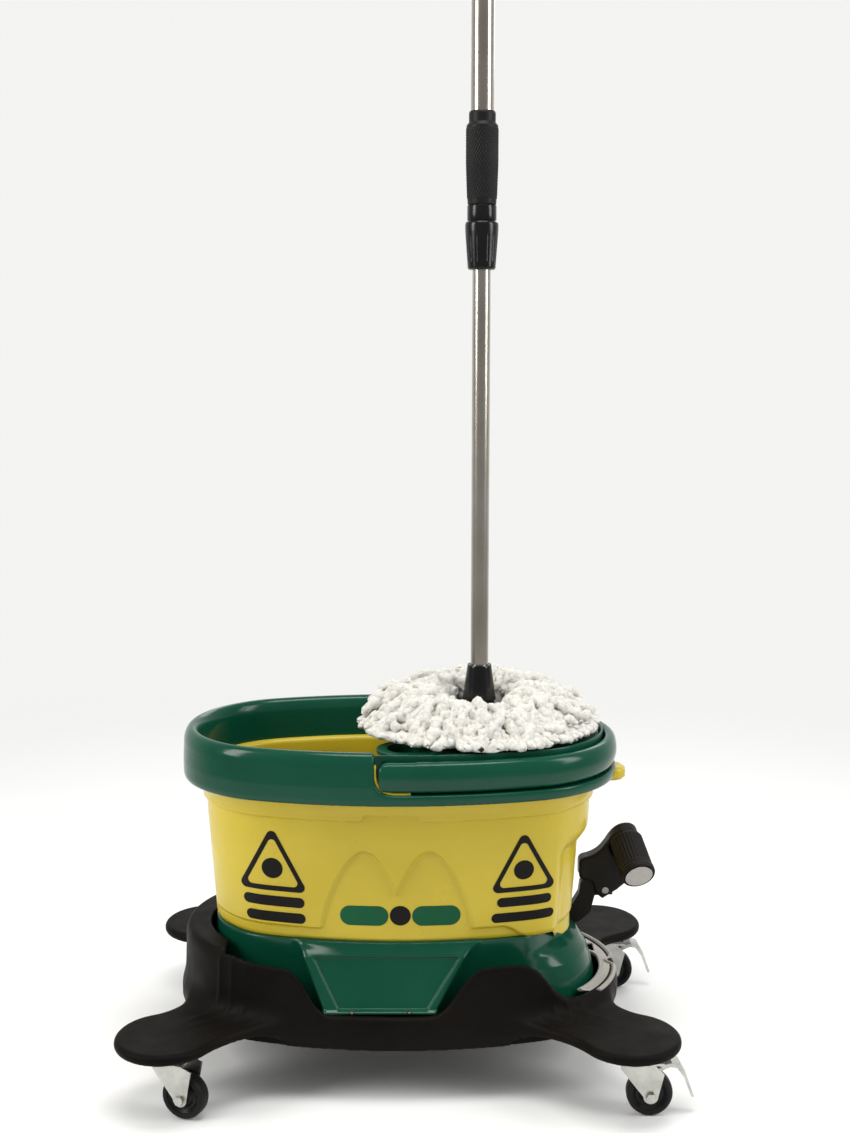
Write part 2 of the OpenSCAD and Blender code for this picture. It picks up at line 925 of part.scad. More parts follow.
// Outer arm with the foot roller's seat, forked over the lever's upper end
module pedal_arm() {
  color([0.08, 0.075, 0.07])
  difference() {
    union() {
      along_y(pedal_y - 11, pedal_y + 11)
        polygon([
          [211, 188], [228, 185], [231, 172], [240, 167], [257, 178], [264, 180], [270, 205],
          [276, 232], [268, 252], [252, 252], [246, 238], [232, 220.5], [211, 219]
        ]);
      at_foot()
        translate([0, 0, -14])
          cylinder(r = foot_r - 2, h = 18, $fn = mid);
    }
    along_y(pedal_y - 7.2, pedal_y + 7.2)
      polygon([[200, 150], [257, 150], [257, 192], [240, 198], [200, 198]]);
    along_y(0, 90)
      translate(arm_pin)
        circle(r = 4, $fn = mid);
    at_foot()
      translate([0, 0, -20])
        cylinder(r = 6, h = 100, $fn = mid);
    // Room for the foot roller
    at_foot()
      translate([0, 0, 4.1])
        cylinder(r = foot_r + 1.1, h = 80, $fn = mid);
  }
}

module pedal_arm_pin() {
  color("silver")
  along_y(pedal_y - 12.5, pedal_y + 12.5)
    translate(arm_pin)
      circle(r = 4, $fn = mid);
}

module pedal_pivot_pin() {
  color("silver")
  along_y(pedal_y - 19, pedal_y + 19)
    translate([pivot_x, pivot_z])
      circle(r = 5, $fn = mid);
}

// Helical return spring between the base plate and the lever
module pedal_spring() {
  turns = 6;
  steps = 12;
  sides = 6;
  coil_r = 9;
  wire_r = 1.3;
  low = housing_low + wire_r + 0.1;
  high = 120;
  count = turns * steps;
  points = [
    for (i = [0:count])
      for (j = [0:sides - 1])
        let(a = i * 360 / steps, b = j * 360 / sides, r = coil_r + wire_r * cos(b))
          [r * cos(a), r * sin(a), low + (high - low) * i / count + wire_r * sin(b)]
  ];
  walls = [
    for (i = [0:count - 1])
      for (j = [0:sides - 1])
        let(k = (j + 1) % sides)
          [i * sides + j, (i + 1) * sides + j, (i + 1) * sides + k, i * sides + k]
  ];
  ends = [
    [for (j = [0:sides - 1]) j],
    [for (j = [sides - 1:-1:0]) count * sides + j]
  ];
  color("silver")
  translate([spring_x, pedal_y, 0])
    polyhedron(points = points, faces = concat(walls, ends), convexity = 10);
}

module roller_pin() {
  color("silver")
  at_foot() {
    translate([0, 0, -11])
      cylinder(r = 6, h = foot_length + 10, $fn = mid);
    translate([0, 0, foot_length - 2.7])
      cylinder(r = foot_r - 3.8, h = 3.5, $fn = mid);
  }
}

module foot_roller() {
  color([0.06, 0.06, 0.06])
  at_foot()
    difference() {
      union() {
        translate([0, 0, 4.5])
          cylinder(r = foot_r - 0.5, h = foot_length - 8, $fn = fine);
        translate([0, 0, foot_length - 9])
          cylinder(r = foot_r, h = 9, $fn = fine);
      }
      translate([0, 0, foot_length - 3])
        cylinder(r = foot_r - 2.8, h = 20, $fn = mid);
      cylinder(r = 6 + fit, h = 100, $fn = mid);
    }
}

// ---------------------------------------------------------------- mop

module at_mop() {
  translate([basket_x, 0, 0])
    children();
}

module mop_plate() {
  color([0.1, 0.1, 0.1])
  at_mop()
    difference() {
      union() {
        translate([0, 0, plate_z])
          cylinder(r = 75, h = 4, $fn = fine);
        translate([0, 0, plate_z])
          cylinder(r = 21, h = 7.5, $fn = mid);
      }
      translate([0, 0, plate_z - 1])
        cylinder(r = 16, h = 20, $fn = mid);
    }
}

// Bundle of strands, folded over the plate's edge
module mop_strands() {
  color([0.95, 0.94, 0.9])
  at_mop()
    rotate_extrude($fn = fine)
      polygon([
        [20, 388], [78, 388], [strand_r - 5, 398], [strand_r, 408], [strand_r - 3, 424],
        [104, 438], [84, 444], [60, 440], [50, 430], [47, 400.3], [76, 400.3], [76, 395.7],
        [20, 395.7]
      ]);
}

module plate_bearing() {
  color("silver")
  at_mop()
    ring(16, 8, plate_z, plate_z + 7);
}

module swivel_hub() {
  color([0.08, 0.08, 0.08])
  at_mop()
    difference() {
      union() {
        translate([0, 0, plate_z - 0.5])
          cylinder(r = 8 - fit, h = 12, $fn = mid);
        translate([0, 0, 404])
          cylinder(r = 16, h = 3, $fn = mid);
        for (y = [-12, 8])
          along_y(y, y + 4)
            union() {
              translate([0, tilt_z])
                circle(r = 7, $fn = mid);
              translate([-7, 406])
                square([14, tilt_z - 406]);
            }
      }
      along_y(-20, 20)
        translate([0, tilt_z])
          circle(r = 3, $fn = mid);
    }
}

module tilt_pin() {
  color("silver")
  at_mop()
    along_y(-13.5, 13.5)
      translate([0, tilt_z])
        circle(r = 3, $fn = mid);
}

module pole_socket() {
  color([0.05, 0.05, 0.05])
  at_mop()
    difference() {
      union() {
        difference() {
          rotate_extrude($fn = fine)
            polygon([[0, 434], [17.2, 434], [17.2, 419], [19, 419], [13.5, socket_top], [0, socket_top]]);
        }
        along_y(-7.7, 7.7)
          union() {
            translate([0, tilt_z])
              circle(r = 7.5, $fn = mid);
            translate([-7.5, tilt_z])
              square([15, 18]);
          }
      }
      along_y(-20, 20)
        translate([0, tilt_z])
          circle(r = 3 + fit, $fn = mid);
      translate([0, 0, 436])
        cylinder(r = lower_r, h = 50, $fn = mid);
    }
}

module lower_tube() {
  color([0.75, 0.75, 0.75])
  at_mop()
    ring(lower_r, lower_r - 0.8, 436, 1040);
}

module glide_bush() {
  color([0.2, 0.2, 0.2])
  at_mop() {
    ring(upper_r - 1 - fit, lower_r, 1020, 1040);
    translate([0, 0, 1040])
      cylinder(r = upper_r - 1 - fit, h = 4, $fn = mid);
  }
}

// Split collet fixed to the upper tube: it grips the lower tube when the nut is turned
module clamp_collet() {
  color([0.09, 0.09, 0.09])
  at_mop()
    difference() {
      union() {
        translate([0, 0, nut_low + 5])
          cylinder(r = 13.5, h = grip_low - nut_low - 5, $fn = mid);
        translate([0, 0, nut_top + 0.5])
          cylinder(r = 16, h = grip_low - nut_top - 0.5, $fn = mid);
      }
      translate([0, 0, 800])
        cylinder(r = lower_r + fit, h = 300, $fn = mid);
      translate([0, 0, 962])
        cylinder(r = upper_r, h = 300, $fn = mid);
      for (turn = [0, 90])
        rotate([0, 0, turn])
          translate([-20, -0.8, nut_low])
            cube([40, 1.6, 35]);
    }
}

module twist_nut() {
  color([0.05, 0.05, 0.05])
  at_mop()
    rotate_extrude($fn = fine)
      polygon([
        [lower_r + 0.6, nut_low], [15.2, nut_low], [15.8, nut_low + 2], [17.8, nut_top - 12],
        [18.4, nut_top - 8], [18.4, nut_top - 1.5], [17.5, nut_top], [13.5 + fit, nut_top],
        [13.5 + fit, nut_low + 4.5], [lower_r + 0.6, nut_low + 4.5]
      ]);
}

module grip() {
  color([0.07, 0.07, 0.07])
  at_mop()
    rotate_extrude($fn = fine)
      polygon([
        [upper_r, grip_low], [15.8, grip_low], [16.5, grip_low + 3], [17.6, grip_low + 45],
        [16.8, grip_top - 4], [16, grip_top], [15, grip_top + 2], [14.5, grip_top + 12],
        [13.6, grip_top + 13], [upper_r, grip_top + 13]
      ]);
}

module upper_tube() {
  color([0.75, 0.75, 0.75])
  at_mop()
    ring(upper_r, upper_r - 1, 962, tube_top);
}

module end_cap() {
  hole_z = tube_top + 22;
  color([0.07, 0.07, 0.07])
  at_mop()
    difference() {
      union() {
        translate([0, 0, tube_top - 25])
          cylinder(r = upper_r - 1, h = 26, $fn = mid);
        translate([0, 0, tube_top])
          cylinder(r = upper_r + 1, h = 8, $fn = mid);
        along_y(-5, 5)
          union() {
            translate([0, hole_z])
              circle(r = 11, $fn = mid);
            translate([-11, tube_top + 4])
              square([22, hole_z - tube_top - 4]);
          }
      }
      along_y(-20, 20)
        translate([0, hole_z])
          circle(r = 4.5, $fn = mid);
    }
}

dolly_deck();
trim_plate();
caster_plates();
caster_fork(0);  // caster_fork_fl
caster_fork(1);  // caster_fork_fr
caster_fork(2);  // caster_fork_bl
caster_fork(3);  // caster_fork_br
wheel_core(0);  // wheel_core_fl
wheel_core(1);  // wheel_core_fr
wheel_core(2);  // wheel_core_bl
wheel_core(3);  // wheel_core_br
wheel_tyre(0);  // wheel_tyre_fl
wheel_tyre(1);  // wheel_tyre_fr
wheel_tyre(2);  // wheel_tyre_bl
wheel_tyre(3);  // wheel_tyre_br
axle_bolt(0);  // axle_bolt_fl
axle_bolt(1);  // axle_bolt_fr
axle_bolt(2);  // axle_bolt_bl
axle_bolt(3);  // axle_bolt_br
brake_lever(1);  // brake_lever_fr
brake_lever(3);  // brake_lever_br
base_plate();
base_housing();
housing_screws();
bucket();
collar();
wringer_deck();
spindle_bushes();
bail_handle();
bail_pins();
basket_spindle();
spin_basket();
basket_nut();
clutch_hub();
clutch_rollers();
clutch_gear();
gear_axle();
compound_gear();
rack();
pedal_lever();
pedal_arm();
pedal_arm_pin();
pedal_pivot_pin();
pedal_spring();
roller_pin();
foot_roller();
mop_plate();
mop_strands();
plate_bearing();
swivel_hub();
tilt_pin();
pole_socket();
lower_tube();
glide_bush();
clamp_collet();
twist_nut();
grip();
upper_tube();
end_cap();
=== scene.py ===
"""Looks of the wheeled spin mop: moulded bucket, dolly, wringer deck, mop head and pole."""
import json
import math
import random

import bpy
import numpy as np
import openvdb
from mathutils import Matrix, Vector, noise


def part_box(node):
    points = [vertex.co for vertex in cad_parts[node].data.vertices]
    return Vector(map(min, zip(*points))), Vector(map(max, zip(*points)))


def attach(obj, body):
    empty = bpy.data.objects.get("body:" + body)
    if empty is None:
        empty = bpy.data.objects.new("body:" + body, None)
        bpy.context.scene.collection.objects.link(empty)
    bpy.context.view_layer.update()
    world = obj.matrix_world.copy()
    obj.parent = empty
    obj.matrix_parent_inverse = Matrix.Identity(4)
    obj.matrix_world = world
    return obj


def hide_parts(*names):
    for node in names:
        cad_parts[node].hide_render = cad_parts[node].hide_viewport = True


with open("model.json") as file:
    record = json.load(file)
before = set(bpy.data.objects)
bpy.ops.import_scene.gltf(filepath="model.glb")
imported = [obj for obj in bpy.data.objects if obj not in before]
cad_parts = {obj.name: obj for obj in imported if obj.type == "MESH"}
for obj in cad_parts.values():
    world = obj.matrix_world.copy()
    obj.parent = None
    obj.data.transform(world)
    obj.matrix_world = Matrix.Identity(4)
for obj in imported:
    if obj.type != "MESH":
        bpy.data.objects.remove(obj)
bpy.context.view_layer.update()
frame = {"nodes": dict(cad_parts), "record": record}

# The oval family: four tangent arcs, at offsets from the collar's outline
END_X = 0.119
END_R = 0.128
SEAM = Vector((0.28, 0.96))
SIDE_R = END_R + END_X / SEAM.x
SIDE_Y = (SIDE_R - END_R) * SEAM.y
SEAM_ANGLE = math.atan2(SEAM.y, SEAM.x)

BASKET_X = 0.5 * (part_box("spin_basket")[0].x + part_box("spin_basket")[1].x)
BUCKET_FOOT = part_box("bucket")[0].z
RIM_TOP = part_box("bucket")[1].z
COLLAR_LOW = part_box("collar")[0].z
COLLAR_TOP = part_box("collar")[1].z
PEDAL_Y = 0.043
SLOTS = {part["node"]: part["material_slot"] for part in frame["record"]["subparts"]}


# ---------------------------------------------------------------- materials

def new_material(name):
    """A material with its shader, and the object coordinates that its textures read."""
    material = bpy.data.materials.new(name)
    material.use_nodes = True
    tree = material.node_tree
    shader = tree.nodes["Principled BSDF"]
    coords = tree.nodes.new("ShaderNodeTexCoord")
    return material, tree, shader, coords


def noise_texture(tree, coords, scale, detail=4.0, roughness=0.55, stretch=None):
    """Noise over the object; stretch is the scale along each axis."""
    texture = tree.nodes.new("ShaderNodeTexNoise")
    texture.inputs["Scale"].default_value = scale
    texture.inputs["Detail"].default_value = detail
    texture.inputs["Roughness"].default_value = roughness
    source = coords.outputs["Object"]
    if stretch:
        mapping = tree.nodes.new("ShaderNodeMapping")
        mapping.inputs["Scale"].default_value = stretch
        tree.links.new(source, mapping.inputs["Vector"])
        source = mapping.outputs["Vector"]
    tree.links.new(source, texture.inputs["Vector"])
    return texture.outputs["Fac"]


def ramp(tree, factor, dark, light, low=0.3, high=0.7):
    """Colour that runs from dark to light as factor goes from low to high."""
    node = tree.nodes.new("ShaderNodeValToRGB")
    node.color_ramp.elements[0].position = low
    node.color_ramp.elements[0].color = (*dark, 1)
    node.color_ramp.elements[1].position = high
    node.color_ramp.elements[1].color = (*light, 1)
    tree.links.new(factor, node.inputs["Fac"])
    return node.outputs["Color"]


def spread(tree, factor, low, high):
    """factor, taken from 0.3..0.7 to low..high."""
    node = tree.nodes.new("ShaderNodeMapRange")
    for socket, value in zip(("From Min", "From Max", "To Min", "To Max"), (0.3, 0.7, low, high)):
        node.inputs[socket].default_value = value
    tree.links.new(factor, node.inputs["Value"])
    return node.outputs["Result"]


def bump(tree, shader, height, depth):
    node = tree.nodes.new("ShaderNodeBump")
    node.inputs["Strength"].default_value = 1.0
    node.inputs["Distance"].default_value = depth
    tree.links.new(height, node.inputs["Height"])
    tree.links.new(node.outputs["Normal"], shader.inputs["Normal"])


def moulding(name, dark, light, rough, grain=900.0, depth=0.00004, patch=9.0, coat=0.0, metal=0.0,
             stretch=None, specular=0.5):
    """Moulded or rolled surface: soft patches of tone, uneven gloss and a fine grain."""
    material, tree, shader, coords = new_material(name)
    patches = noise_texture(tree, coords, patch, detail=6.0)
    tree.links.new(ramp(tree, patches, dark, light), shader.inputs["Base Color"])
    smears = noise_texture(tree, coords, 3.2 * patch, detail=3.0, stretch=stretch)
    tree.links.new(spread(tree, smears, *rough), shader.inputs["Roughness"])
    bump(tree, shader, noise_texture(tree, coords, grain, detail=2.0, stretch=stretch), depth)
    shader.inputs["Coat Weight"].default_value = coat
    shader.inputs["Coat Roughness"].default_value = 0.08
    shader.inputs["Metallic"].default_value = metal
    shader.inputs["Specular IOR Level"].default_value = specular
    return material


def strand_material():
    """White chenille: deep soft fuzz, with darker warm cream patches from noise painted in as the shade of
    its hollows.
    """
    material, tree, shader, coords = new_material("strand_white")
    tuft_shade = noise_texture(tree, coords, 230.0, detail=5.0, roughness=0.65)
    # painted shade: the noise mixes darker warm cream into the white, standing in for the shade between tufts
    tree.links.new(ramp(tree, tuft_shade, (0.56, 0.52, 0.42), (0.80, 0.79, 0.74), 0.28, 0.54),
                   shader.inputs["Base Color"])
    bump(tree, shader, noise_texture(tree, coords, 520.0, detail=4.0, roughness=0.75), 0.0016)
    shader.inputs["Roughness"].default_value = 0.95
    shader.inputs["Sheen Weight"].default_value = 0.3
    shader.inputs["Sheen Roughness"].default_value = 0.5
    shader.inputs["Subsurface Weight"].default_value = 0.35
    shader.inputs["Subsurface Radius"].default_value = (0.006, 0.005, 0.004)
    return material


def make_materials():
    """One material for each of the record's slots, and two inks for the labels."""
    return {
        "dolly_black": moulding("dolly_black", (0.0036, 0.0028, 0.0023), (0.0066, 0.0053, 0.0044),
                                (0.46, 0.60), grain=700.0, depth=0.00005, specular=0.06),
        "trim_grey": moulding("trim_grey", (0.30, 0.285, 0.26), (0.40, 0.38, 0.35),
                              (0.38, 0.50), grain=1200.0, depth=0.00002, metal=0.35),
        "plate_black": moulding("plate_black", (0.010, 0.010, 0.010), (0.018, 0.018, 0.017),
                                (0.45, 0.6), specular=0.3),
        "bucket_yellow": moulding("bucket_yellow", (0.52, 0.395, 0.020), (0.63, 0.485, 0.032),
                                  (0.26, 0.38), grain=420.0, depth=0.00003, patch=5.0, specular=0.4),
        "green_gloss": moulding("green_gloss", (0.0022, 0.050, 0.027), (0.0038, 0.070, 0.039),
                                (0.12, 0.22), grain=260.0, depth=0.00004, patch=6.0, specular=0.26),
        "basket_green": moulding("basket_green", (0.0022, 0.046, 0.025), (0.004, 0.064, 0.036),
                                 (0.22, 0.34), grain=300.0, depth=0.00003, specular=0.26),
        "gear_white": moulding("gear_white", (0.62, 0.6, 0.54), (0.72, 0.7, 0.64), (0.38, 0.5)),
        "pedal_black": moulding("pedal_black", (0.0080, 0.0062, 0.0052), (0.017, 0.0138, 0.0118),
                                (0.34, 0.5), grain=600.0, depth=0.00006, specular=0.16),
        "foot_rubber": moulding("foot_rubber", (0.0085, 0.0072, 0.0062), (0.0165, 0.0142, 0.0125),
                                (0.45, 0.6), grain=800.0, depth=0.00008, specular=0.16),
        "pole_black": moulding("pole_black", (0.0035, 0.0035, 0.0038), (0.0065, 0.0065, 0.007),
                               (0.16, 0.28), grain=500.0, depth=0.00003, specular=0.30),
        "grip_rubber": moulding("grip_rubber", (0.0050, 0.0050, 0.0050), (0.011, 0.011, 0.0108),
                                (0.40, 0.55), grain=900.0, depth=0.00006, specular=0.18),
        "stainless": moulding("stainless", (0.40, 0.36, 0.31), (0.56, 0.52, 0.46), (0.17, 0.26),
                              grain=260.0, depth=0.00001, metal=1.0, stretch=(1, 1, 0.02)),
        "zinc_steel": moulding("zinc_steel", (0.40, 0.40, 0.37), (0.60, 0.60, 0.56), (0.28, 0.44),
                               grain=400.0, depth=0.00002, patch=40.0, metal=1.0),
        "bright_steel": moulding("bright_steel", (0.30, 0.285, 0.265), (0.42, 0.405, 0.38),
                                 (0.22, 0.34), grain=700.0, depth=0.00001, metal=1.0),
        "wheel_black": moulding("wheel_black", (0.0085, 0.0085, 0.0085), (0.015, 0.015, 0.015),
                                (0.32, 0.45), specular=0.2),
        "tyre_black": moulding("tyre_black", (0.0065, 0.0065, 0.0065), (0.015, 0.0145, 0.014),
                               (0.42, 0.6), grain=900.0, depth=0.0001, specular=0.15),
        "strand_white": strand_material(),
        "label_black": moulding("label_black", (0.006, 0.0052, 0.0045), (0.010, 0.009, 0.008),
                                (0.4, 0.5), grain=500.0, depth=0.00001, specular=0.12),
        "label_green": moulding("label_green", (0.006, 0.080, 0.032), (0.009, 0.10, 0.042),
                                (0.4, 0.5), grain=500.0, depth=0.00001, specular=0.12),
    }


MATERIALS = make_materials()


# ---------------------------------------------------------------- meshes

def piece(name, points, faces, slot, body, replaced=(), material=None):
    """A smooth mesh piece that rides on a body and takes its finish from a slot."""
    mesh = bpy.data.meshes.new(name)
    mesh.from_pydata([tuple(p) for p in points], [], faces)
    mesh.validate()
    mesh.materials.append(MATERIALS[material or slot])
    mesh.shade_smooth()
    obj = bpy.data.objects.new(name, mesh)
    bpy.context.scene.collection.objects.link(obj)
    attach(obj, body)
    if replaced:
        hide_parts(*replaced)
    return obj


def ring_faces(rings, count, first=0, closed_rings=True, closed_rows=False):
    """Quads between rings of count points, numbered from first."""
    faces = []
    for i in range(rings if closed_rows else rings - 1):
        for j in range(count if closed_rings else count - 1):
            a = first + i * count
            b = first + (i + 1) % rings * count
            k = (j + 1) % count
            faces.append((a + j, a + k, b + k, b + j))
    return faces


def lathe(profile, count=64, shape=None):
    """Points and faces of a turned form about Z; shape(turn, z) is added to the radius."""
    points = []
    for radius, z in profile:
        for j in range(count):
            turn = 2 * math.pi * j / count
            r = radius + (shape(turn, z) if shape else 0.0)
            points.append(Vector((r * math.cos(turn), r * math.sin(turn), z)))
    return points, ring_faces(len(profile), count, closed_rows=True)


def smoothstep(t):
    t = min(max(t, 0.0), 1.0)
    return t * t * (3 - 2 * t)


def path_height(path, x, soft=0.0, samples=9):
    """Height at x of a line through [x, height] points, averaged over x - soft .. x + soft."""
    total = 0.0
    for i in range(samples):
        u = x + soft * (2 * i / (samples - 1) - 1)
        total += np.interp(u, [p[0] for p in path], [p[1] for p in path])
    return total / samples


# ---------------------------------------------------------------- the oval

def oval_angle(share):
    """Direction of the outward normal at a share of the way round, starting from +X."""
    end_len = END_R * 2 * SEAM_ANGLE
    side_len = SIDE_R * (math.pi - 2 * SEAM_ANGLE)
    s = share % 1.0 * 2 * (end_len + side_len)
    arcs = (
        (end_len / 2, END_R, 0.0),
        (side_len, SIDE_R, SEAM_ANGLE),
        (end_len, END_R, math.pi - SEAM_ANGLE),
        (side_len, SIDE_R, math.pi + SEAM_ANGLE),
        (end_len / 2, END_R, 2 * math.pi - SEAM_ANGLE),
    )
    for length, radius, start in arcs:
        if s <= length:
            return start + s / radius
        s -= length
    return 2 * math.pi


def oval_point(angle, offset, z):
    """Point of the oval at an offset, where the outward normal has this direction."""
    nx, ny = math.cos(angle), math.sin(angle)
    if abs(nx) >= SEAM.x:
        x, y, radius = math.copysign(END_X, nx), 0.0, END_R
    else:
        x, y, radius = 0.0, -math.copysign(SIDE_Y, ny), SIDE_R
    return Vector((x + (radius + offset) * nx, y + (radius + offset) * ny, z))


def oval_distance(x, y):
    """Signed distance, in plan, to the collar's outline."""
    ax, ay = np.abs(x), np.abs(y)
    at_end = (ax - END_X) * SEAM.y > ay * SEAM.x
    end = np.hypot(ax - END_X, ay) - END_R
    side = np.hypot(ax, ay + SIDE_Y) - SIDE_R
    return np.where(at_end, end, side)


# ---------------------------------------------------------------- moulded forms, as distance fields

def soft_min(a, b, k):
    """Smaller of two distances, with a fillet of about k where they meet."""
    h = np.clip(0.5 + 0.5 * (b - a) / k, 0, 1)
    return b + (a - b) * h - k * h * (1 - h)


def soft_max(a, b, k):
    return -soft_min(-a, -b, k)


def slab(outline, z, low, high, edge):
    """A plan outline raised from low to high, with rounded edges."""
    across = outline + edge
    up = np.abs(z - (low + high) / 2) - (high - low) / 2 + edge
    return np.minimum(np.maximum(across, up), 0) + np.hypot(np.maximum(across, 0), np.maximum(up, 0)) - edge


def beyond(u, v, corners):
    """Distance beyond a convex outline, given anticlockwise in u and v."""
    result = None
    for (u0, v0), (u1, v1) in zip(corners, corners[1:] + corners[:1]):
        length = math.hypot(u1 - u0, v1 - v0)
        side = ((v1 - v0) * (u - u0) - (u1 - u0) * (v - v0)) / length
        result = side if result is None else np.maximum(result, side)
    return result


def moulded(name, low, high, step, distance, slot, body, replaced):
    """A piece whose surface is where distance(x, y, z) is zero, inside the box low..high."""
    axes = [np.arange(low[k] - 2 * step, high[k] + 3 * step, step) for k in range(3)]
    x, y, z = np.meshgrid(*axes, indexing="ij", sparse=True)
    values = np.clip(distance(x, y, z) / step, -3, 3).astype(np.float32)
    grid = openvdb.FloatGrid(3.0)
    grid.copyFromArray(np.ascontiguousarray(values))
    points, quads = grid.convertToQuads(0.0)
    points = points * step + np.array([axis[0] for axis in axes])
    obj = piece(name, points, quads[:, ::-1].tolist(), slot, body, replaced)
    return obj


def corners_of(node, grow=0.0):
    low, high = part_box(node)
    return low - Vector((grow,) * 3), high + Vector((grow,) * 3)


# ---------------------------------------------------------------- dolly

PAD = (0.248, 0.161)
PAD_R = 0.055
LONG_CURVE = 0.110
END_CURVE = 0.055
FLOOR_TOP = 0.072


def circle_cross(p, p_r, q, q_r):
    """Crossing of two circles, on the left of the line from p to q."""
    p, q = Vector(p), Vector(q)
    gap = (q - p).length
    u = (q - p) / gap
    along = (gap ** 2 + p_r ** 2 - q_r ** 2) / (2 * gap)
    across = math.sqrt(p_r ** 2 - along ** 2)
    return p + along * u + across * Vector((-u.y, u.x))


def arm_distance(ax, ay):
    """Plan distance to an arm, which has a concave curve on each side."""
    root = 0.002
    side, end = Vector((0, -SIDE_Y)), Vector((END_X, 0))
    long_c = circle_cross(side, SIDE_R + root + LONG_CURVE, PAD, PAD_R + LONG_CURVE)
    end_c = circle_cross(PAD, PAD_R + END_CURVE, end, END_R + root + END_CURVE)
    hollows = np.maximum(LONG_CURVE - np.hypot(ax - long_c.x, ay - long_c.y),
                         END_CURVE - np.hypot(ax - end_c.x, ay - end_c.y))
    long_foot = side + (long_c - side) * (SIDE_R - 0.02) / (long_c - side).length
    end_foot = end + (end_c - end) * (END_R - 0.02) / (end_c - end).length
    corners = [tuple(p) for p in (end_foot, end_c, Vector(PAD), long_c, long_foot)]
    return np.maximum(hollows, beyond(ax, ay, corners))


def wall_top(x, y):
    """Height of the dolly wall's top: cut down in front and at the right end."""
    front = [(-0.26, 0.160), (-0.196, 0.160), (-0.150, 0.152), (-0.112, 0.150), (-0.085, 0.100),
             (0.045, 0.100), (0.084, 0.154), (0.128, 0.156), (0.150, 0.150), (0.176, 0.112), (0.190, 0.103),
             (0.26, 0.103)]
    back = [(-0.26, 0.160), (0.150, 0.160), (0.172, 0.140), (0.190, 0.103), (0.26, 0.103)]
    return np.where(y < 0, path_height(front, x, 0.011), path_height(back, x, 0.011))


RIB_CENTRE = (0.192, 0.130)
RIB_SPACING = 0.016
RIB_HEIGHT = 0.0009
RIB_HALF = 0.036
RIB_FADE = 0.020


def rib_relief(ax, ay):
    """Height of the four low ribs where each arm runs up into the wall."""
    along = 0.8 * (ax - RIB_CENTRE[0]) + 0.6 * (ay - RIB_CENTRE[1])
    across = 0.6 * (ax - RIB_CENTRE[0]) - 0.8 * (ay - RIB_CENTRE[1])
    ridge = np.clip(-np.cos(2 * math.pi * across / RIB_SPACING), 0, 1)
    fade = np.clip((RIB_HALF - np.abs(along)) / RIB_FADE, 0, 1)
    return RIB_HEIGHT * ridge * fade * fade * (3 - 2 * fade) * (np.abs(across) < 2 * RIB_SPACING)


def dolly_distance(x, y, z):
    ax, ay = np.abs(x), np.abs(y)
    oval = oval_distance(x, y)
    pad = np.hypot(ax - PAD[0], ay - PAD[1]) - PAD_R
    outline = np.minimum(np.minimum(pad, arm_distance(ax, ay)), oval)
    arms = slab(outline, z, 0.078, 0.090, 0.0055)
    lean = np.interp(z, [0.10, 0.15, 0.158], [0.003, 0.001, -0.001])
    top = wall_top(x, y)
    wall = soft_max(oval - lean, z - top, 0.006)
    wall = np.maximum(wall, 0.064 - z)
    body = soft_min(arms, wall, 0.022)
    body = body - rib_relief(ax, ay)
    underside = np.maximum(outline + 0.004, z - 0.0855)
    under = np.maximum(np.maximum(underside, 0.002 - oval), 0.030 - np.hypot(ax - PAD[0], ay - PAD[1]))
    body = np.maximum(body, -under)
    lip = np.maximum(np.abs(oval + 0.0265) - 0.0015, np.abs(z - 0.153) - 0.005)
    flange_low = np.where(top > 0.1588, 0.1545, 0.200)
    cavity = np.maximum(np.maximum(oval + 0.003, z - flange_low), FLOOR_TOP - z)
    cavity = np.maximum(cavity, -np.maximum(lip, 0.1588 - top))
    opening = np.maximum(oval + 0.028, FLOOR_TOP - z)
    body = soft_max(body, -cavity, 0.002)
    body = soft_max(body, -opening, 0.002)
    return np.maximum(body, -np.maximum(oval + 0.001, z - 0.067))


def build_dolly():
    low, high = corners_of("dolly_deck")
    return moulded("dolly_shell", low, high, 0.0018, dolly_distance, "dolly_black", "dolly", ["dolly_deck"])


def trim_distance(x, y, z):
    """Grey plate on the low wall at the right end: rolled edges, a jog and the pedal's notch."""
    oval = oval_distance(x, y)
    inner = path_height([(-0.08, 0.0145), (0.016, 0.0145), (0.030, 0.0205), (0.098, 0.0205)], y, 0.004)
    outer = 0.0045 - 0.0095 * np.exp(-((y - 0.0015) / 0.009) ** 2)
    ends = np.maximum(-0.079 - y, y - 0.096)
    outline = soft_max(np.maximum(oval - outer, -inner - oval), ends, 0.006)
    plate = slab(outline, z, 0.1005, 0.1030, 0.001)
    for edge in (oval - outer + 0.0012, oval + inner - 0.0015):
        roll = np.maximum(np.hypot(edge, z - 0.1028) - 0.0024, ends)
        plate = soft_min(plate, roll, 0.0015)
    notch = np.maximum(np.abs(y - PEDAL_Y) - 0.0105, x - 0.2305)
    return np.maximum(soft_max(plate, -notch, 0.0015), 0.150 - x)


def build_trim():
    low, high = corners_of("trim_plate")
    return moulded("trim_cover", low, high, 0.0010, trim_distance, "trim_grey", "dolly", ["trim_plate"])


# ---------------------------------------------------------------- gear housing

def panel_distance(x, z, low, high, left, right):
    """Distance beyond a trapezoid in X and Z; left and right are its x at low and high."""
    return beyond(x, z, [(left[0], low), (right[0], low), (right[1], high), (left[1], high)])


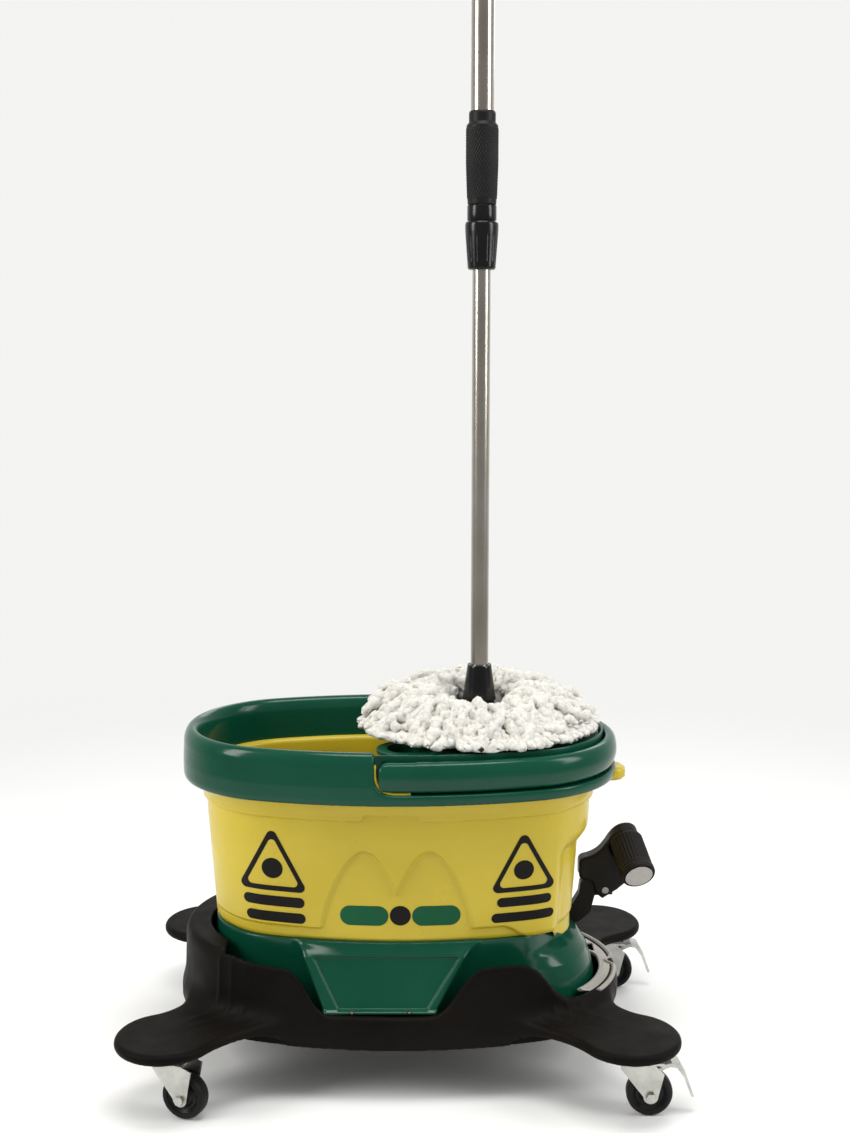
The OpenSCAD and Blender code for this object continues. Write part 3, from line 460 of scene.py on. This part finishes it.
def housing_distance(x, y, z):
    oval = oval_distance(x, y)
    facing = np.clip(((x - END_X) / (np.hypot(x - END_X, y) + 1e-6) - 0.20) / 0.55, 0, 1)
    facing = facing * facing * (3 - 2 * facing)
    flared = np.interp(z, [0.075, 0.096, 0.113, 0.130, 0.143, 0.152, 0.166],
                       [0.0215, 0.0205, 0.0241, 0.0305, 0.0395, 0.0513, 0.0545])
    inset = 0.0345 + (flared - 0.0345) * facing
    body = np.maximum(oval + inset, np.maximum(0.075 - z, z - BUCKET_FOOT))
    front = np.interp(z, [0.1004, 0.1025, 0.1055, 0.157, 0.168], [0.142, 0.142, 0.1365, 0.1185, 0.107])
    bulge = soft_max(-y - front, panel_distance(x, z, 0.1004, 0.176, (-0.081, -0.113), (0.041, 0.086)), 0.007)
    bulge = soft_max(bulge, z - 0.1670, 0.006)
    bulge = np.maximum(bulge, y + 0.095)
    body = soft_min(body, bulge, 0.010)
    hollow = np.maximum(oval + inset + 0.003, z - (BUCKET_FOOT - 0.003))
    body = np.maximum(body, -hollow)
    recess = soft_max(panel_distance(x, z, 0.105, 0.157, (-0.065, -0.093), (0.031, 0.067)),
                      -y - front - 0.01, 0.003)
    recess = np.maximum(recess, (front - 0.0032) + y)
    body = soft_max(body, -recess, 0.0015)
    slot = np.maximum(np.abs(y - PEDAL_Y) - 0.010, np.maximum(0.190 - x, 0.088 - z))
    return soft_max(body, -slot, 0.0015)


def build_housing():
    low, high = corners_of("base_housing")
    return moulded("gear_housing", low, high, 0.0014, housing_distance, "green_gloss", "bucket",
                   ["base_housing"])


# ---------------------------------------------------------------- collar and bail

RECESS_X = -0.025
BAIL_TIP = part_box("bail_handle")[0].x + 0.0005


def recess_corner(x, z):
    """Distance outside the recess's left and lower edges, which meet in a round corner."""
    return soft_max(RECESS_X - x, 0.3475 - z, 0.022)


def collar_distance(x, y, z):
    """Hollow rounded rim; on the right, a flange and a wall with the bail's recess between them."""
    oval = oval_distance(x, y)
    across = (oval + 0.0105) / 0.0095
    crown = COLLAR_TOP - 0.018
    dome = (np.hypot(across, np.maximum(z - crown, 0) / 0.018) - 1) * 0.0095
    lean = np.interp(z, [COLLAR_LOW, 0.341, 0.356, crown], [0.0012, 0.0, 0.0, 0.001])
    skin = np.maximum(oval + np.where(z < crown, lean, 0.001), -oval - 0.0200)
    skin = np.where(z < crown, skin, dome)
    body = soft_max(skin, COLLAR_LOW - z, 0.003)
    hollow = np.maximum(np.maximum(oval + lean + 0.003, -oval - 0.017), z - (COLLAR_TOP - 0.012))
    corner = recess_corner(x, z)
    pocket = np.maximum(corner, -0.0150 - oval)
    body = soft_max(body, -pocket, 0.0022)
    body = np.maximum(body, -np.maximum(hollow, 0.0035 - corner))
    return body


def build_collar():
    low, high = corners_of("collar")
    return moulded("rim_collar", low, high, 0.0013, collar_distance, "green_gloss", "bucket", ["collar"])


def liner_distance(x, y, z):
    """Yellow edge of the bucket that shows in the recess, round the bail's end."""
    oval = oval_distance(x, y)
    lining = np.abs(recess_corner(x, z) + 0.0010) - 0.0011
    lining = np.maximum(lining, np.maximum(oval + 0.0035, -oval - 0.0148))
    return np.maximum(lining, np.maximum(x - 0.014, z - 0.378))


def build_liner():
    for side, low_y, high_y in (("front", -0.147, -0.110), ("back", 0.110, 0.147)):
        low, high = Vector((RECESS_X - 0.003, low_y, 0.344)), Vector((0.018, high_y, 0.382))
        moulded("recess_liner_" + side, low, high, 0.0007, liner_distance, "bucket_yellow", "bucket", [])


def bail_distance(x, y, z):
    """The bail at rest round the right end: a bulged outer face and round ends."""
    oval = oval_distance(x, y)
    low, high = 0.3485, 0.3828
    mid = (low + high) / 2
    bulge = -0.0035 + 0.0045 * np.clip(1 - ((z - mid) / (high - mid)) ** 2, 0, 1)
    bar = soft_max(oval - bulge, -oval - 0.0133, 0.004)
    bar = soft_max(bar, np.maximum(low - z, z - high), 0.006)
    corner = 0.0105
    tip = BAIL_TIP + corner - x
    ends = np.hypot(np.maximum(tip, 0), np.maximum(np.abs(z - mid) - (high - mid) + corner, 0)) - corner
    return soft_max(bar, np.where(x < 0.02, ends, -1.0), 0.003)


def build_bail():
    low, high = corners_of("bail_handle")
    return moulded("bail_grip", low, high, 0.0012, bail_distance, "green_gloss", "bail", ["bail_handle"])


# ---------------------------------------------------------------- bucket

# Low relief across the front: two domes, steeper on their inner sides, over a level run
HUMP_X = (-0.0365, 0.0330)
HUMP_HALF = (0.0495, 0.0448)
HUMP_TOP = 0.2765
HUMP_FOOT = 0.1850
HUMP_END = (0.115, 0.150)
NOTCH = (-0.0375, 0.023)
BAND_LOW = 0.3118
NOTCH_LOW = 0.3185


def hump_line(x):
    """Height of the relief's edge at x."""
    centre = HUMP_X[0] if x < -0.002 else HUMP_X[1]
    half = HUMP_HALF[0] if (x - centre) * centre > 0 else HUMP_HALF[1]
    rise = (HUMP_TOP - HUMP_FOOT) * (1 - min(abs(x - centre) / half, 1.0) ** 1.8) ** 0.8
    return HUMP_FOOT + rise - 0.0165 * smoothstep((x - HUMP_END[0]) / (HUMP_END[1] - HUMP_END[0]))


def outer_offset(angle, x, z):
    """Offset of the bucket's outer face: taper, band under the collar, humps and right-end step."""
    offset = np.interp(z, [BUCKET_FOOT, BUCKET_FOOT + 0.004, 0.290, 0.335],
                       [-0.0365, -0.0345, -0.0266, -0.0256])
    offset += 0.0040 * smoothstep((z - 0.316) / 0.018)
    front = math.sin(angle) < 0
    in_notch = smoothstep((x - NOTCH[0]) / 0.004 + 0.5) - smoothstep((x - NOTCH[1]) / 0.004 + 0.5)
    band = BAND_LOW + (NOTCH_LOW - BAND_LOW) * (in_notch if front else 0.0)
    offset += 0.0042 * smoothstep((z - band) / 0.0016 + 0.5)
    hump = hump_line(x)
    slope = min(abs(hump_line(x + 0.0008) - hump_line(x - 0.0008)) / 0.0016, 5.0)
    below = smoothstep((hump - z) / math.hypot(1, slope) / 0.0020 + 0.5)
    fade = smoothstep((1 - abs(math.cos(angle))) / 0.25)
    offset -= 0.0029 * below * (fade if front or x > 0 else 1.0)
    end = smoothstep((math.cos(angle) - 0.55) / 0.25)
    offset -= 0.0028 * end * (1 - smoothstep((z - 0.312) / 0.02))
    return offset - 0.0105 * end * (1 - smoothstep((z - 0.2535) / 0.024))


def foot_height(angle):
    """Height of the bucket's lower edge, which dips at the right end."""
    return BUCKET_FOOT - 0.018 * smoothstep((math.cos(angle) - 0.55) / 0.25)


def inner_point(angle, offset, z):
    """Point of the bucket's inside, which stays within its outer face."""
    outer = outer_offset(angle, oval_point(angle, -0.028, 0).x, max(z, BUCKET_FOOT))
    return oval_point(angle, min(offset, outer - 0.0028), z)


def shrunk_point(p, share):
    return Vector((p.x * share, p.y * share, p.z))


def bucket_rings(count):
    angles = [oval_angle(j / count) for j in range(count)]
    rings = []
    rows = 132
    feet = [foot_height(a) for a in angles]
    for i in range(rows + 1):
        heights = [foot + (0.3345 - foot) * i / rows for foot in feet]
        rings.append([oval_point(a, outer_offset(a, oval_point(a, -0.028, 0).x, z), z)
                      for a, z in zip(angles, heights)])
    inside = [(-0.0055, 0.3350), (-0.0042, 0.3362), (-0.0042, 0.3400), (-0.0052, RIM_TOP), (-0.0280, RIM_TOP),
              (-0.0290, 0.3400)]
    inside += [(-0.0292, 0.3385 - 0.012 * i) for i in range(4)] + [(-0.0292, 0.292)]
    inside += [(-0.0292 - 0.0088 * i / 9, 0.290 - 0.114 * i / 9) for i in range(1, 10)]
    inside += [(-0.0395, 0.1748), (-0.0425, 0.1740)]
    for offset, z in inside:
        rings.append([inner_point(a, offset, z) if z < 0.33 else oval_point(a, offset, z) for a in angles])
    for shrink in (0.8, 0.6, 0.4, 0.2, 0.02):
        rings.append([shrunk_point(inner_point(a, -0.0425, 0.174), shrink) for a in angles])
    for shrink in (0.02, 0.5, 1.0):
        rings.append([shrunk_point(inner_point(a, -0.0380, BUCKET_FOOT), shrink) for a in angles])
    rings.append([inner_point(a, -0.0380, foot) for a, foot in zip(angles, feet)])
    return rings


def build_bucket():
    count = 640
    rings = bucket_rings(count)
    points = [p for ring in rings for p in ring]
    faces = ring_faces(len(rings), count, closed_rows=True)
    pipe = [(0.0120, 0.1700), (0.0162, 0.1700), (0.0162, 0.2825), (0.0155, 0.2838), (0.0120, 0.2838)]
    pipe_points, pipe_faces = lathe(pipe, 48)
    first = len(points)
    points += [p + Vector((BASKET_X, 0, 0)) for p in pipe_points]
    faces += [tuple(first + k for k in face) for face in pipe_faces]
    return piece("bucket_shell", points, faces, "bucket_yellow", "bucket", ["bucket"])


def tab_distance(x, y, z):
    """Lifting tab at the right end: a rounded block with grooves across its outer face."""
    plan = soft_max(np.hypot(x - 0.236, y) - 0.0228, np.abs(y) - 0.0180, 0.008)
    block = slab(np.maximum(plan, 0.222 - x), z, 0.3255, 0.3415, 0.0060)
    grooves = 0.0008 * np.cos(2 * math.pi * z / 0.0042) * np.clip((x - 0.2530) / 0.003, 0, 1)
    return block + grooves


def build_tab():
    low, high = Vector((0.222, -0.021, 0.324)), Vector((0.262, 0.021, 0.344))
    tab = moulded("bucket_tab", low, high, 0.0008, tab_distance, "bucket_yellow", "bucket", [])
    return tab


# ---------------------------------------------------------------- labels

def wall_point(x, z, lift):
    """Point on the bucket's front at this x and z, lifted off the surface."""
    angle = -math.pi / 2
    for _ in range(12):
        offset = outer_offset(angle, x, z) + lift
        if abs(x) < SEAM.x * (SIDE_R + offset):
            angle = -math.acos(max(-1.0, min(1.0, x / (SIDE_R + offset))))
        else:
            angle = -math.acos(max(-1.0, min(1.0, (x - math.copysign(END_X, x)) / (END_R + offset))))
    return oval_point(angle, offset, z)


def decal(name, strips, slot):
    """Thin raised print on the bucket's front. Each strip is rows of [x, z] points."""
    points, faces = [], []
    for rows, closed in strips:
        count = len(rows[0])
        first = len(points)
        for row in rows:
            points += [wall_point(x, z, 0.0003) for x, z in row]
        faces += ring_faces(len(rows), count, first, closed_rings=closed)
    obj = piece(name, points, faces, "bucket_yellow", "bucket", material=slot)
    return obj


def rounded_outline(corners, radius, per_corner=10, per_side=14):
    """Points round a convex polygon whose corners are rounded."""
    outline = []
    count = len(corners)
    for i in range(count):
        a, b, c = (Vector(corners[(i + k) % count]) for k in (-1, 0, 1))
        u, v = (a - b).normalized(), (c - b).normalized()
        half = math.acos(max(-1, min(1, u.dot(v)))) / 2
        centre = b + (u + v).normalized() * radius / math.sin(half)
        start = (b + u * radius / math.tan(half)) - centre
        sweep = math.pi - 2 * half
        turn = 1 if u.cross(v) < 0 else -1
        for k in range(per_corner + 1):
            spin = Matrix.Rotation(turn * sweep * k / per_corner, 2)
            outline.append(centre + spin @ start)
        following = Vector(corners[(i + 1) % count])
        nxt = Vector(corners[(i + 2) % count])
        u2, v2 = (b - following).normalized(), (nxt - following).normalized()
        half2 = math.acos(max(-1, min(1, u2.dot(v2)))) / 2
        goal = following + u2 * radius / math.tan(half2)
        here = outline[-1]
        outline += [here.lerp(goal, k / per_side) for k in range(1, per_side)]
    return outline


def shrunk(outline, middle, share_x, share_z):
    """An outline drawn in towards its middle."""
    return [Vector((middle.x + (p.x - middle.x) * share_x, middle.y + (p.y - middle.y) * share_z))
            for p in outline]


def round_mark(middle, radius):
    """A plain round dot, drawn as rings that shrink to its middle."""
    turns = [2 * math.pi * j / 40 for j in range(40)]
    rows = [[middle + Vector((math.cos(t), math.sin(t))) * radius * k / 3 for t in turns]
            for k in (3, 2, 1, 0.02)]
    return (rows, True)


def triangle_sign(centre, width, low, high):
    """A rounded triangle frame, with a plain dot inside it."""
    corners = [(centre - width / 2, low), (centre + width / 2, low), (centre, high)]
    middle = Vector((centre, low + (high - low) * 0.345))
    outer = rounded_outline(corners, 0.0060)
    frame_rows = [shrunk(outer, middle, 1 - 0.075 * k, 1 - 0.075 * k) for k in range(4)]
    return [(frame_rows, True), round_mark(middle, 0.155 * (high - low))]


def bar(left, right, low, high):
    """A plain rounded bar, drawn as rings that shrink to its middle line."""
    half = (high - low) / 2
    outline = rounded_outline([(left, low), (right, low), (right, high), (left, high)], 0.98 * half)
    middle = Vector(((left + right) / 2, (low + high) / 2))
    flat = 1 - half / ((right - left) / 2)
    rows = [shrunk(outline, middle, 1 - (1 - flat) * k / 4, 1 - k / 4) for k in range(5)]
    return [(rows, True)]


def build_labels():
    """Generic marks where the bucket is printed: two signs with bars under them, and a stripe."""
    sign_left = triangle_sign(-0.1385, 0.080, 0.2255, 0.3020)
    sign_left += bar(-0.1720, -0.1030, 0.2075, 0.2195) + bar(-0.1690, -0.1020, 0.1890, 0.2010)
    decal("label_left", sign_left, "label_black")
    sign_right = triangle_sign(0.1375, 0.076, 0.2250, 0.2970)
    sign_right += bar(0.1080, 0.1690, 0.2080, 0.2190) + bar(0.1020, 0.1720, 0.1900, 0.2010)
    decal("label_right", sign_right, "label_black")
    stripe = bar(-0.0640, -0.0110, 0.1900, 0.2130) + bar(0.0150, 0.0680, 0.1900, 0.2130)
    decal("label_stripe", stripe, "label_green")
    decal("label_dot", [round_mark(Vector((0.002, 0.2020)), 0.0115)], "label_black")


# ---------------------------------------------------------------- mop head

def strand_path(rng, index, count):
    """Centre line of one chenille strand, from the plate out over the basket's rim."""
    turn = 2 * math.pi * (index + rng.uniform(-0.5, 0.5)) / count
    layer = rng.random()
    start_r = 0.029 + 0.050 * layer * rng.random()
    end_r = rng.uniform(0.092, 0.129) if layer < 0.6 else rng.uniform(0.112, 0.131)
    crest = 0.404 + 0.018 * (1 - layer) + rng.uniform(-0.004, 0.004) + 0.009 * math.sin(turn) - 0.002
    swirl = rng.uniform(-0.45, 0.45)
    waves = [(rng.uniform(1.5, 4.5), rng.uniform(0, 6.28), rng.uniform(0.03, 0.12)) for _ in range(2)]
    lifts = [(rng.uniform(2.0, 6.0), rng.uniform(0, 6.28), rng.uniform(0.002, 0.005)) for _ in range(2)]
    line = []
    steps = 34
    for i in range(steps + 1):
        t = i / steps
        radius = start_r + (end_r - start_r) * t
        angle = turn + swirl * t * t + 0.6 * sum(a * math.sin(f * t * 3.0 + p) for f, p, a in waves)
        z = crest + 0.011 * math.sin(math.pi * min(0.15 + t * 1.05, 1)) - 0.026 * t ** 2.6 * (0.5 + layer)
        z += sum(a * math.sin(f * t * 3.0 + p) for f, p, a in lifts) - 0.008 * (1 - t) ** 3
        line.append(Vector((radius * math.cos(angle) * 1.065, radius * math.sin(angle), max(z, 0.393))))
    return line


def tube(line, radius, sides, rng):
    """Rings of a tufted tube along a line, with closed round ends."""
    points = []
    seed = Vector((rng.uniform(0, 50), rng.uniform(0, 50), rng.uniform(0, 50)))
    phase = rng.uniform(0, 6.28)
    up = Vector((0, 0, 1))
    count = len(line)
    for i, p in enumerate(line):
        ahead = (line[min(i + 1, count - 1)] - line[max(i - 1, 0)]).normalized()
        side = ahead.cross(up)
        side = side.normalized() if side.length > 1e-4 else Vector((1, 0, 0))
        top = side.cross(ahead)
        cap = min(i, count - 1 - i)
        shrink = (0.25, 0.75, 0.95)[cap] if cap < 3 else 1.0
        tuft = 1 + 0.26 * math.sin(1.55 * i + phase + 1.5 * noise.noise(p * 60 + seed))
        for j in range(sides):
            a = 2 * math.pi * j / sides
            out = side * math.cos(a) + top * math.sin(a)
            lump = noise.noise((p + out * radius) * 190 + seed) * 0.55
            lump += noise.noise((p + out * radius) * 520 + seed) * 0.30
            points.append(p + out * radius * shrink * (tuft + lump))
    return points


def build_strands():
    rng = random.Random(7)
    count = 330
    sides = 10
    low, high = Vector((-0.141, -0.1265, 0.3900)), Vector((0.1405, 0.1290, 0.4440))
    points, faces = [], []
    for index in range(count):
        line = strand_path(rng, index, count)
        first = len(points)
        for p in tube(line, rng.uniform(0.0044, 0.0066), sides, rng):
            kept = [min(max(value, least), most) for value, least, most in zip(p, low, high)]
            points.append(Vector((BASKET_X, 0, 0)) + Vector(kept))
        faces += ring_faces(len(line), sides, first)
        last = first + (len(line) - 1) * sides
        faces.append(tuple(first + j for j in range(sides)))
        faces.append(tuple(last + j for j in reversed(range(sides))))
    return piece("chenille_strands", points, faces, "strand_white", "mop_head", ["mop_strands"])


# ---------------------------------------------------------------- pole

def on_pole(points):
    return [p + Vector((BASKET_X, 0, 0)) for p in points]


GRIP_ENDS = (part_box("grip")[0].z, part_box("grip")[1].z)


def knurl(turn, z):
    """Height of a diamond knurl: two crossed sets of grooves."""
    low, high = GRIP_ENDS
    edge = smoothstep((z - low - 0.006) / 0.004) * smoothstep((high - 0.016 - z) / 0.004)
    across = 18 * turn
    along = (z - low) * 1050.0
    ridges = max(abs(math.sin(across + along / 2)) + abs(math.sin(across - along / 2)) - 0.9, -0.5)
    return 0.00055 * edge * ridges


def build_grip():
    low, high = GRIP_ENDS
    rows = 130
    outline = [(0.0131, low)]
    for i in range(rows + 1):
        z = low + (high - low) * i / rows
        radius = np.interp(z - low, [0, 0.002, 0.010, 0.045, 0.085, 0.0865, 0.0885, 0.098, 0.100],
                           [0.0140, 0.0156, 0.0160, 0.0172, 0.0172, 0.0158, 0.0145, 0.0145, 0.0136])
        outline.append((float(radius), z))
    outline.append((0.0131, high))
    points, faces = lathe(outline, 216, knurl)
    return piece("knurled_grip", on_pole(points), faces, "grip_rubber", "upper_pole", ["grip"])


def build_nut():
    low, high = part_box("twist_nut")[0].z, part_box("twist_nut")[1].z

    def ribs(turn, z):
        inside = smoothstep((z - low - 0.006) / 0.006) * smoothstep((high - 0.012 - z) / 0.006)
        return -0.0007 * inside * smoothstep((abs(math.sin(8 * turn)) - 0.25) * -3 + 0.5)

    outline = [(0.0106, low), (0.0140, low), (0.0150, low + 0.0012)]
    rows = 34
    for i in range(1, rows):
        z = low + (high - low) * i / rows
        radius = np.interp(z, [low, high - 0.010, high - 0.004, high], [0.0152, 0.0182, 0.0183, 0.0172])
        outline.append((float(radius), z))
    outline += [(0.0165, high - 0.0002), (0.0152, high), (0.0140, high)]
    points, faces = lathe(outline, 128, ribs)
    return piece("ribbed_nut", on_pole(points), faces, "pole_black", "twist_nut", ["twist_nut"])


def build_neck():
    """Ringed neck between the twist nut and the grip."""
    low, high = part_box("twist_nut")[1].z + 0.0006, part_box("grip")[0].z + 0.0005
    outline = [(0.0130, low)]
    rows = 40
    for i in range(rows + 1):
        z = low + (high - low) * i / rows
        outline.append((0.0148 + 0.0011 * math.cos(2 * math.pi * 3 * i / rows), z))
    outline.append((0.0130, high))
    points, faces = lathe(outline, 72)
    return piece("ringed_neck", on_pole(points), faces, "pole_black", "upper_pole")


# ---------------------------------------------------------------- pedal

FOOT_TILT = math.radians(120)
FOOT_TURN = math.radians(-78.3)
FOOT_AXIS = Vector((math.sin(FOOT_TILT) * math.cos(FOOT_TURN), math.sin(FOOT_TILT) * math.sin(FOOT_TURN),
                    math.cos(FOOT_TILT)))
FOOT_END = Vector((0.2662, 0.0389, 0.2400))
FOOT_LENGTH = 0.058
FOOT_R = 0.020


def on_foot(points):
    """Turns points along the foot roller's axis and puts them at its inner end."""
    place = FOOT_AXIS.to_track_quat("Z", "Y").to_matrix()
    return [FOOT_END + place @ p for p in points]


def build_roller():
    flutes = 30
    body_r = FOOT_R - 0.0005
    cap_low = FOOT_LENGTH - 0.009

    def fluting(turn, z):
        edge = smoothstep((z - 0.0065) / 0.003) * smoothstep((cap_low - 0.001 - z) / 0.002)
        return -0.0010 * edge * abs(math.cos(flutes / 2 * turn)) ** 0.7

    outline = [(0.0062, 0.0045), (body_r - 0.0018, 0.0045), (body_r - 0.0005, 0.0052), (body_r, 0.0065)]
    outline += [(body_r, 0.0065 + (cap_low - 0.0065) * i / 24) for i in range(1, 25)]
    rim = [(-0.0011, 0.0002), (-0.0011, 0.0010), (-0.0003, 0.0014), (0.0, 0.0022), (0.0, 0.0072),
           (-0.0006, 0.0085), (-0.0014, 0.0090), (-0.0022, 0.0090), (-0.0028, 0.0084), (-0.0030, 0.0062)]
    outline += [(FOOT_R + out, cap_low + up) for out, up in rim]
    outline.append((0.0062, FOOT_LENGTH - 0.0030))
    points, faces = lathe(outline, 240, fluting)
    return piece("fluted_roller", on_foot(points), faces, "foot_rubber", "foot_roller", ["foot_roller"])


# Side outline of the outer arm, in X and Z, as links from the bucket's side up to the roller
ARM_LINE = [(0.2225, 0.2035), (0.248, 0.206), (0.262, 0.232)]
ARM_SIZE = [0.0150, 0.0215, 0.0175]
SEAT_R = 0.0165


def spine_distance(x, z, line, sizes):
    """Distance to a run of tapered links in X and Z."""
    result = None
    for (x0, z0), (x1, z1), r0, r1 in zip(line, line[1:], sizes, sizes[1:]):
        dx, dz = x1 - x0, z1 - z0
        t = np.clip(((x - x0) * dx + (z - z0) * dz) / (dx * dx + dz * dz), 0, 1)
        link = np.hypot(x - x0 - t * dx, z - z0 - t * dz) - (r0 + (r1 - r0) * t)
        result = link if result is None else soft_min(result, link, 0.006)
    return result


def along_foot(x, y, z):
    """Places along the foot roller's axis, and distances from it."""
    px, py, pz = x - FOOT_END.x, y - FOOT_END.y, z - FOOT_END.z
    along = px * FOOT_AXIS.x + py * FOOT_AXIS.y + pz * FOOT_AXIS.z
    return along, np.sqrt(np.maximum(px ** 2 + py ** 2 + pz ** 2 - along ** 2, 0))


def arm_body_distance(x, y, z):
    """Outer arm: two cheeks over the lever's end and a round seat for the foot roller."""
    side = spine_distance(x, z, ARM_LINE, ARM_SIZE)
    cheek = beyond(x, z, [(0.231, 0.174), (0.240, 0.1665), (0.257, 0.1775), (0.267, 0.186), (0.262, 0.215),
                          (0.225, 0.200)])
    side = soft_max(soft_min(side, cheek, 0.006), 0.2115 - x, 0.003)
    body = soft_max(side, np.abs(y - PEDAL_Y) - 0.0110, 0.004)
    along, across = along_foot(x, y, z)
    seat = soft_max(across - SEAT_R, np.maximum(along - 0.0038, -0.011 - along), 0.003)
    body = soft_min(body, seat, 0.006)
    room = np.maximum(across - (FOOT_R + 0.0011), 0.0041 - along)
    body = soft_max(body, -room, 0.001)
    fork = np.maximum(np.abs(y - PEDAL_Y) - 0.0073, np.maximum(z - 0.198, x - 0.257))
    return soft_max(body, -fork, 0.0008)


def build_pedal():
    low, high = corners_of("pedal_arm")
    moulded("pedal_arm_body", low, high, 0.0010, arm_body_distance, "pedal_black", "pedal", ["pedal_arm"])


# ---------------------------------------------------------------- kept CAD nodes

BEVELS = {
    "wringer_deck": 0.0012, "spin_basket": 0.0006, "pole_socket": 0.0008, "end_cap": 0.0008,
    "pedal_lever": 0.0015, "base_plate": 0.0006, "mop_plate": 0.0008,
}
SMALL_BEVEL = 0.0003
NO_BEVEL = ("pedal_spring", "lower_tube", "upper_tube")


def soften(obj, width):
    """Welds the tessellated faces and rounds the hard edges a little."""
    weld = obj.modifiers.new("weld", "WELD")
    weld.merge_threshold = 0.00001
    edge = obj.modifiers.new("edges", "BEVEL")
    edge.width = width
    edge.segments = 2
    edge.limit_method = "ANGLE"
    edge.angle_limit = math.radians(38)
    edge.harden_normals = False


def finish_nodes():
    """Gives each CAD node that still shows its material, and its edges a small radius."""
    for name, obj in frame["nodes"].items():
        obj.data.materials.clear()
        obj.data.materials.append(MATERIALS[SLOTS[name]])
        if obj.hide_render or name in NO_BEVEL:
            continue
        soften(obj, BEVELS.get(name, SMALL_BEVEL))


# ---------------------------------------------------------------- stage, lights, camera

def build_floor():
    """Pale floor, which fades out into the pale backdrop."""
    size, rows = 9.0, 3
    points = [Vector((size * (i / rows - 0.5), size * (j / rows - 0.5), 0)) for i in range(rows + 1)
              for j in range(rows + 1)]
    mesh = bpy.data.meshes.new("floor")
    mesh.from_pydata([tuple(p) for p in points], [], ring_faces(rows + 1, rows + 1, closed_rings=False))
    material, tree, shader, coords = new_material("floor")
    tree.links.new(ramp(tree, noise_texture(tree, coords, 2.0), (0.86, 0.86, 0.85), (0.89, 0.89, 0.88)),
                   shader.inputs["Base Color"])
    shader.inputs["Roughness"].default_value = 0.85
    shader.inputs["Specular IOR Level"].default_value = 0.2
    reach = tree.nodes.new("ShaderNodeVectorMath")
    reach.operation = "LENGTH"
    fade = tree.nodes.new("ShaderNodeMapRange")
    fade.interpolation_type = "SMOOTHSTEP"
    for socket, value in zip(("From Min", "From Max", "To Min", "To Max"), (0.7, 2.2, 1.0, 0.0)):
        fade.inputs[socket].default_value = value
    tree.links.new(coords.outputs["Object"], reach.inputs[0])
    tree.links.new(reach.outputs["Value"], fade.inputs["Value"])
    tree.links.new(fade.outputs["Result"], shader.inputs["Alpha"])
    mesh.materials.append(material)
    obj = bpy.data.objects.new("floor", mesh)
    bpy.context.scene.collection.objects.link(obj)


def area_light(name, place, target, size, power, tint=(1, 1, 1)):
    light = bpy.data.lights.new(name, "AREA")
    light.shape = "RECTANGLE"
    light.size, light.size_y = size
    light.energy = power
    light.color = tint
    obj = bpy.data.objects.new(name, light)
    obj.location = place
    obj.rotation_euler = (Vector(target) - Vector(place)).to_track_quat("-Z", "Y").to_euler()
    bpy.context.scene.collection.objects.link(obj)


def build_light():
    """Softboxes on both sides and overhead, and a backdrop that is pale behind the object only."""
    area_light("left", (-1.9, -0.9, 1.5), (0, 0, 0.30), (0.7, 1.5), 34, (1, 0.99, 0.97))
    area_light("right", (1.9, -0.7, 1.4), (0, 0, 0.30), (0.7, 1.5), 26)
    area_light("overhead", (0.1, -0.6, 2.6), (0, 0, 0.3), (1.5, 0.7), 32)
    area_light("back", (0.5, 2.3, 1.9), (0, 0, 0.4), (2.0, 0.8), 14)
    world = bpy.data.worlds.new("studio")
    world.use_nodes = True
    tree = world.node_tree
    coords = tree.nodes.new("ShaderNodeTexCoord")
    split = tree.nodes.new("ShaderNodeSeparateXYZ")
    fade = tree.nodes.new("ShaderNodeMapRange")
    fade.interpolation_type = "SMOOTHSTEP"
    for socket, value in zip(("From Min", "From Max", "To Min", "To Max"), (-0.1, 0.8, 0.34, 0.95)):
        fade.inputs[socket].default_value = value
    tree.links.new(coords.outputs["Generated"], split.inputs["Vector"])
    tree.links.new(split.outputs["Y"], fade.inputs["Value"])
    tree.links.new(fade.outputs["Result"], tree.nodes["Background"].inputs["Strength"])
    tree.nodes["Background"].inputs["Color"].default_value = (0.95, 0.95, 0.94, 1)
    bpy.context.scene.world = world


CAMERA_PLACE = (0.029, -1.675, 0.821)
CAMERA_LENS = 47.7
CAMERA_DOWN = 8.48


def build_camera():
    camera = bpy.data.cameras.new("camera")
    camera.lens = CAMERA_LENS
    obj = bpy.data.objects.new("camera", camera)
    obj.location = CAMERA_PLACE
    obj.rotation_euler = (math.radians(90 - CAMERA_DOWN), 0, 0)
    bpy.context.scene.collection.objects.link(obj)
    bpy.context.scene.camera = obj
    bpy.context.scene.view_settings.view_transform = "Standard"


for build in (build_dolly, build_trim, build_housing, build_collar, build_liner, build_bail, build_bucket,
              build_tab, build_labels, build_strands, build_grip, build_nut, build_neck, build_roller,
              build_pedal, finish_nodes, build_floor, build_light, build_camera):
    build()
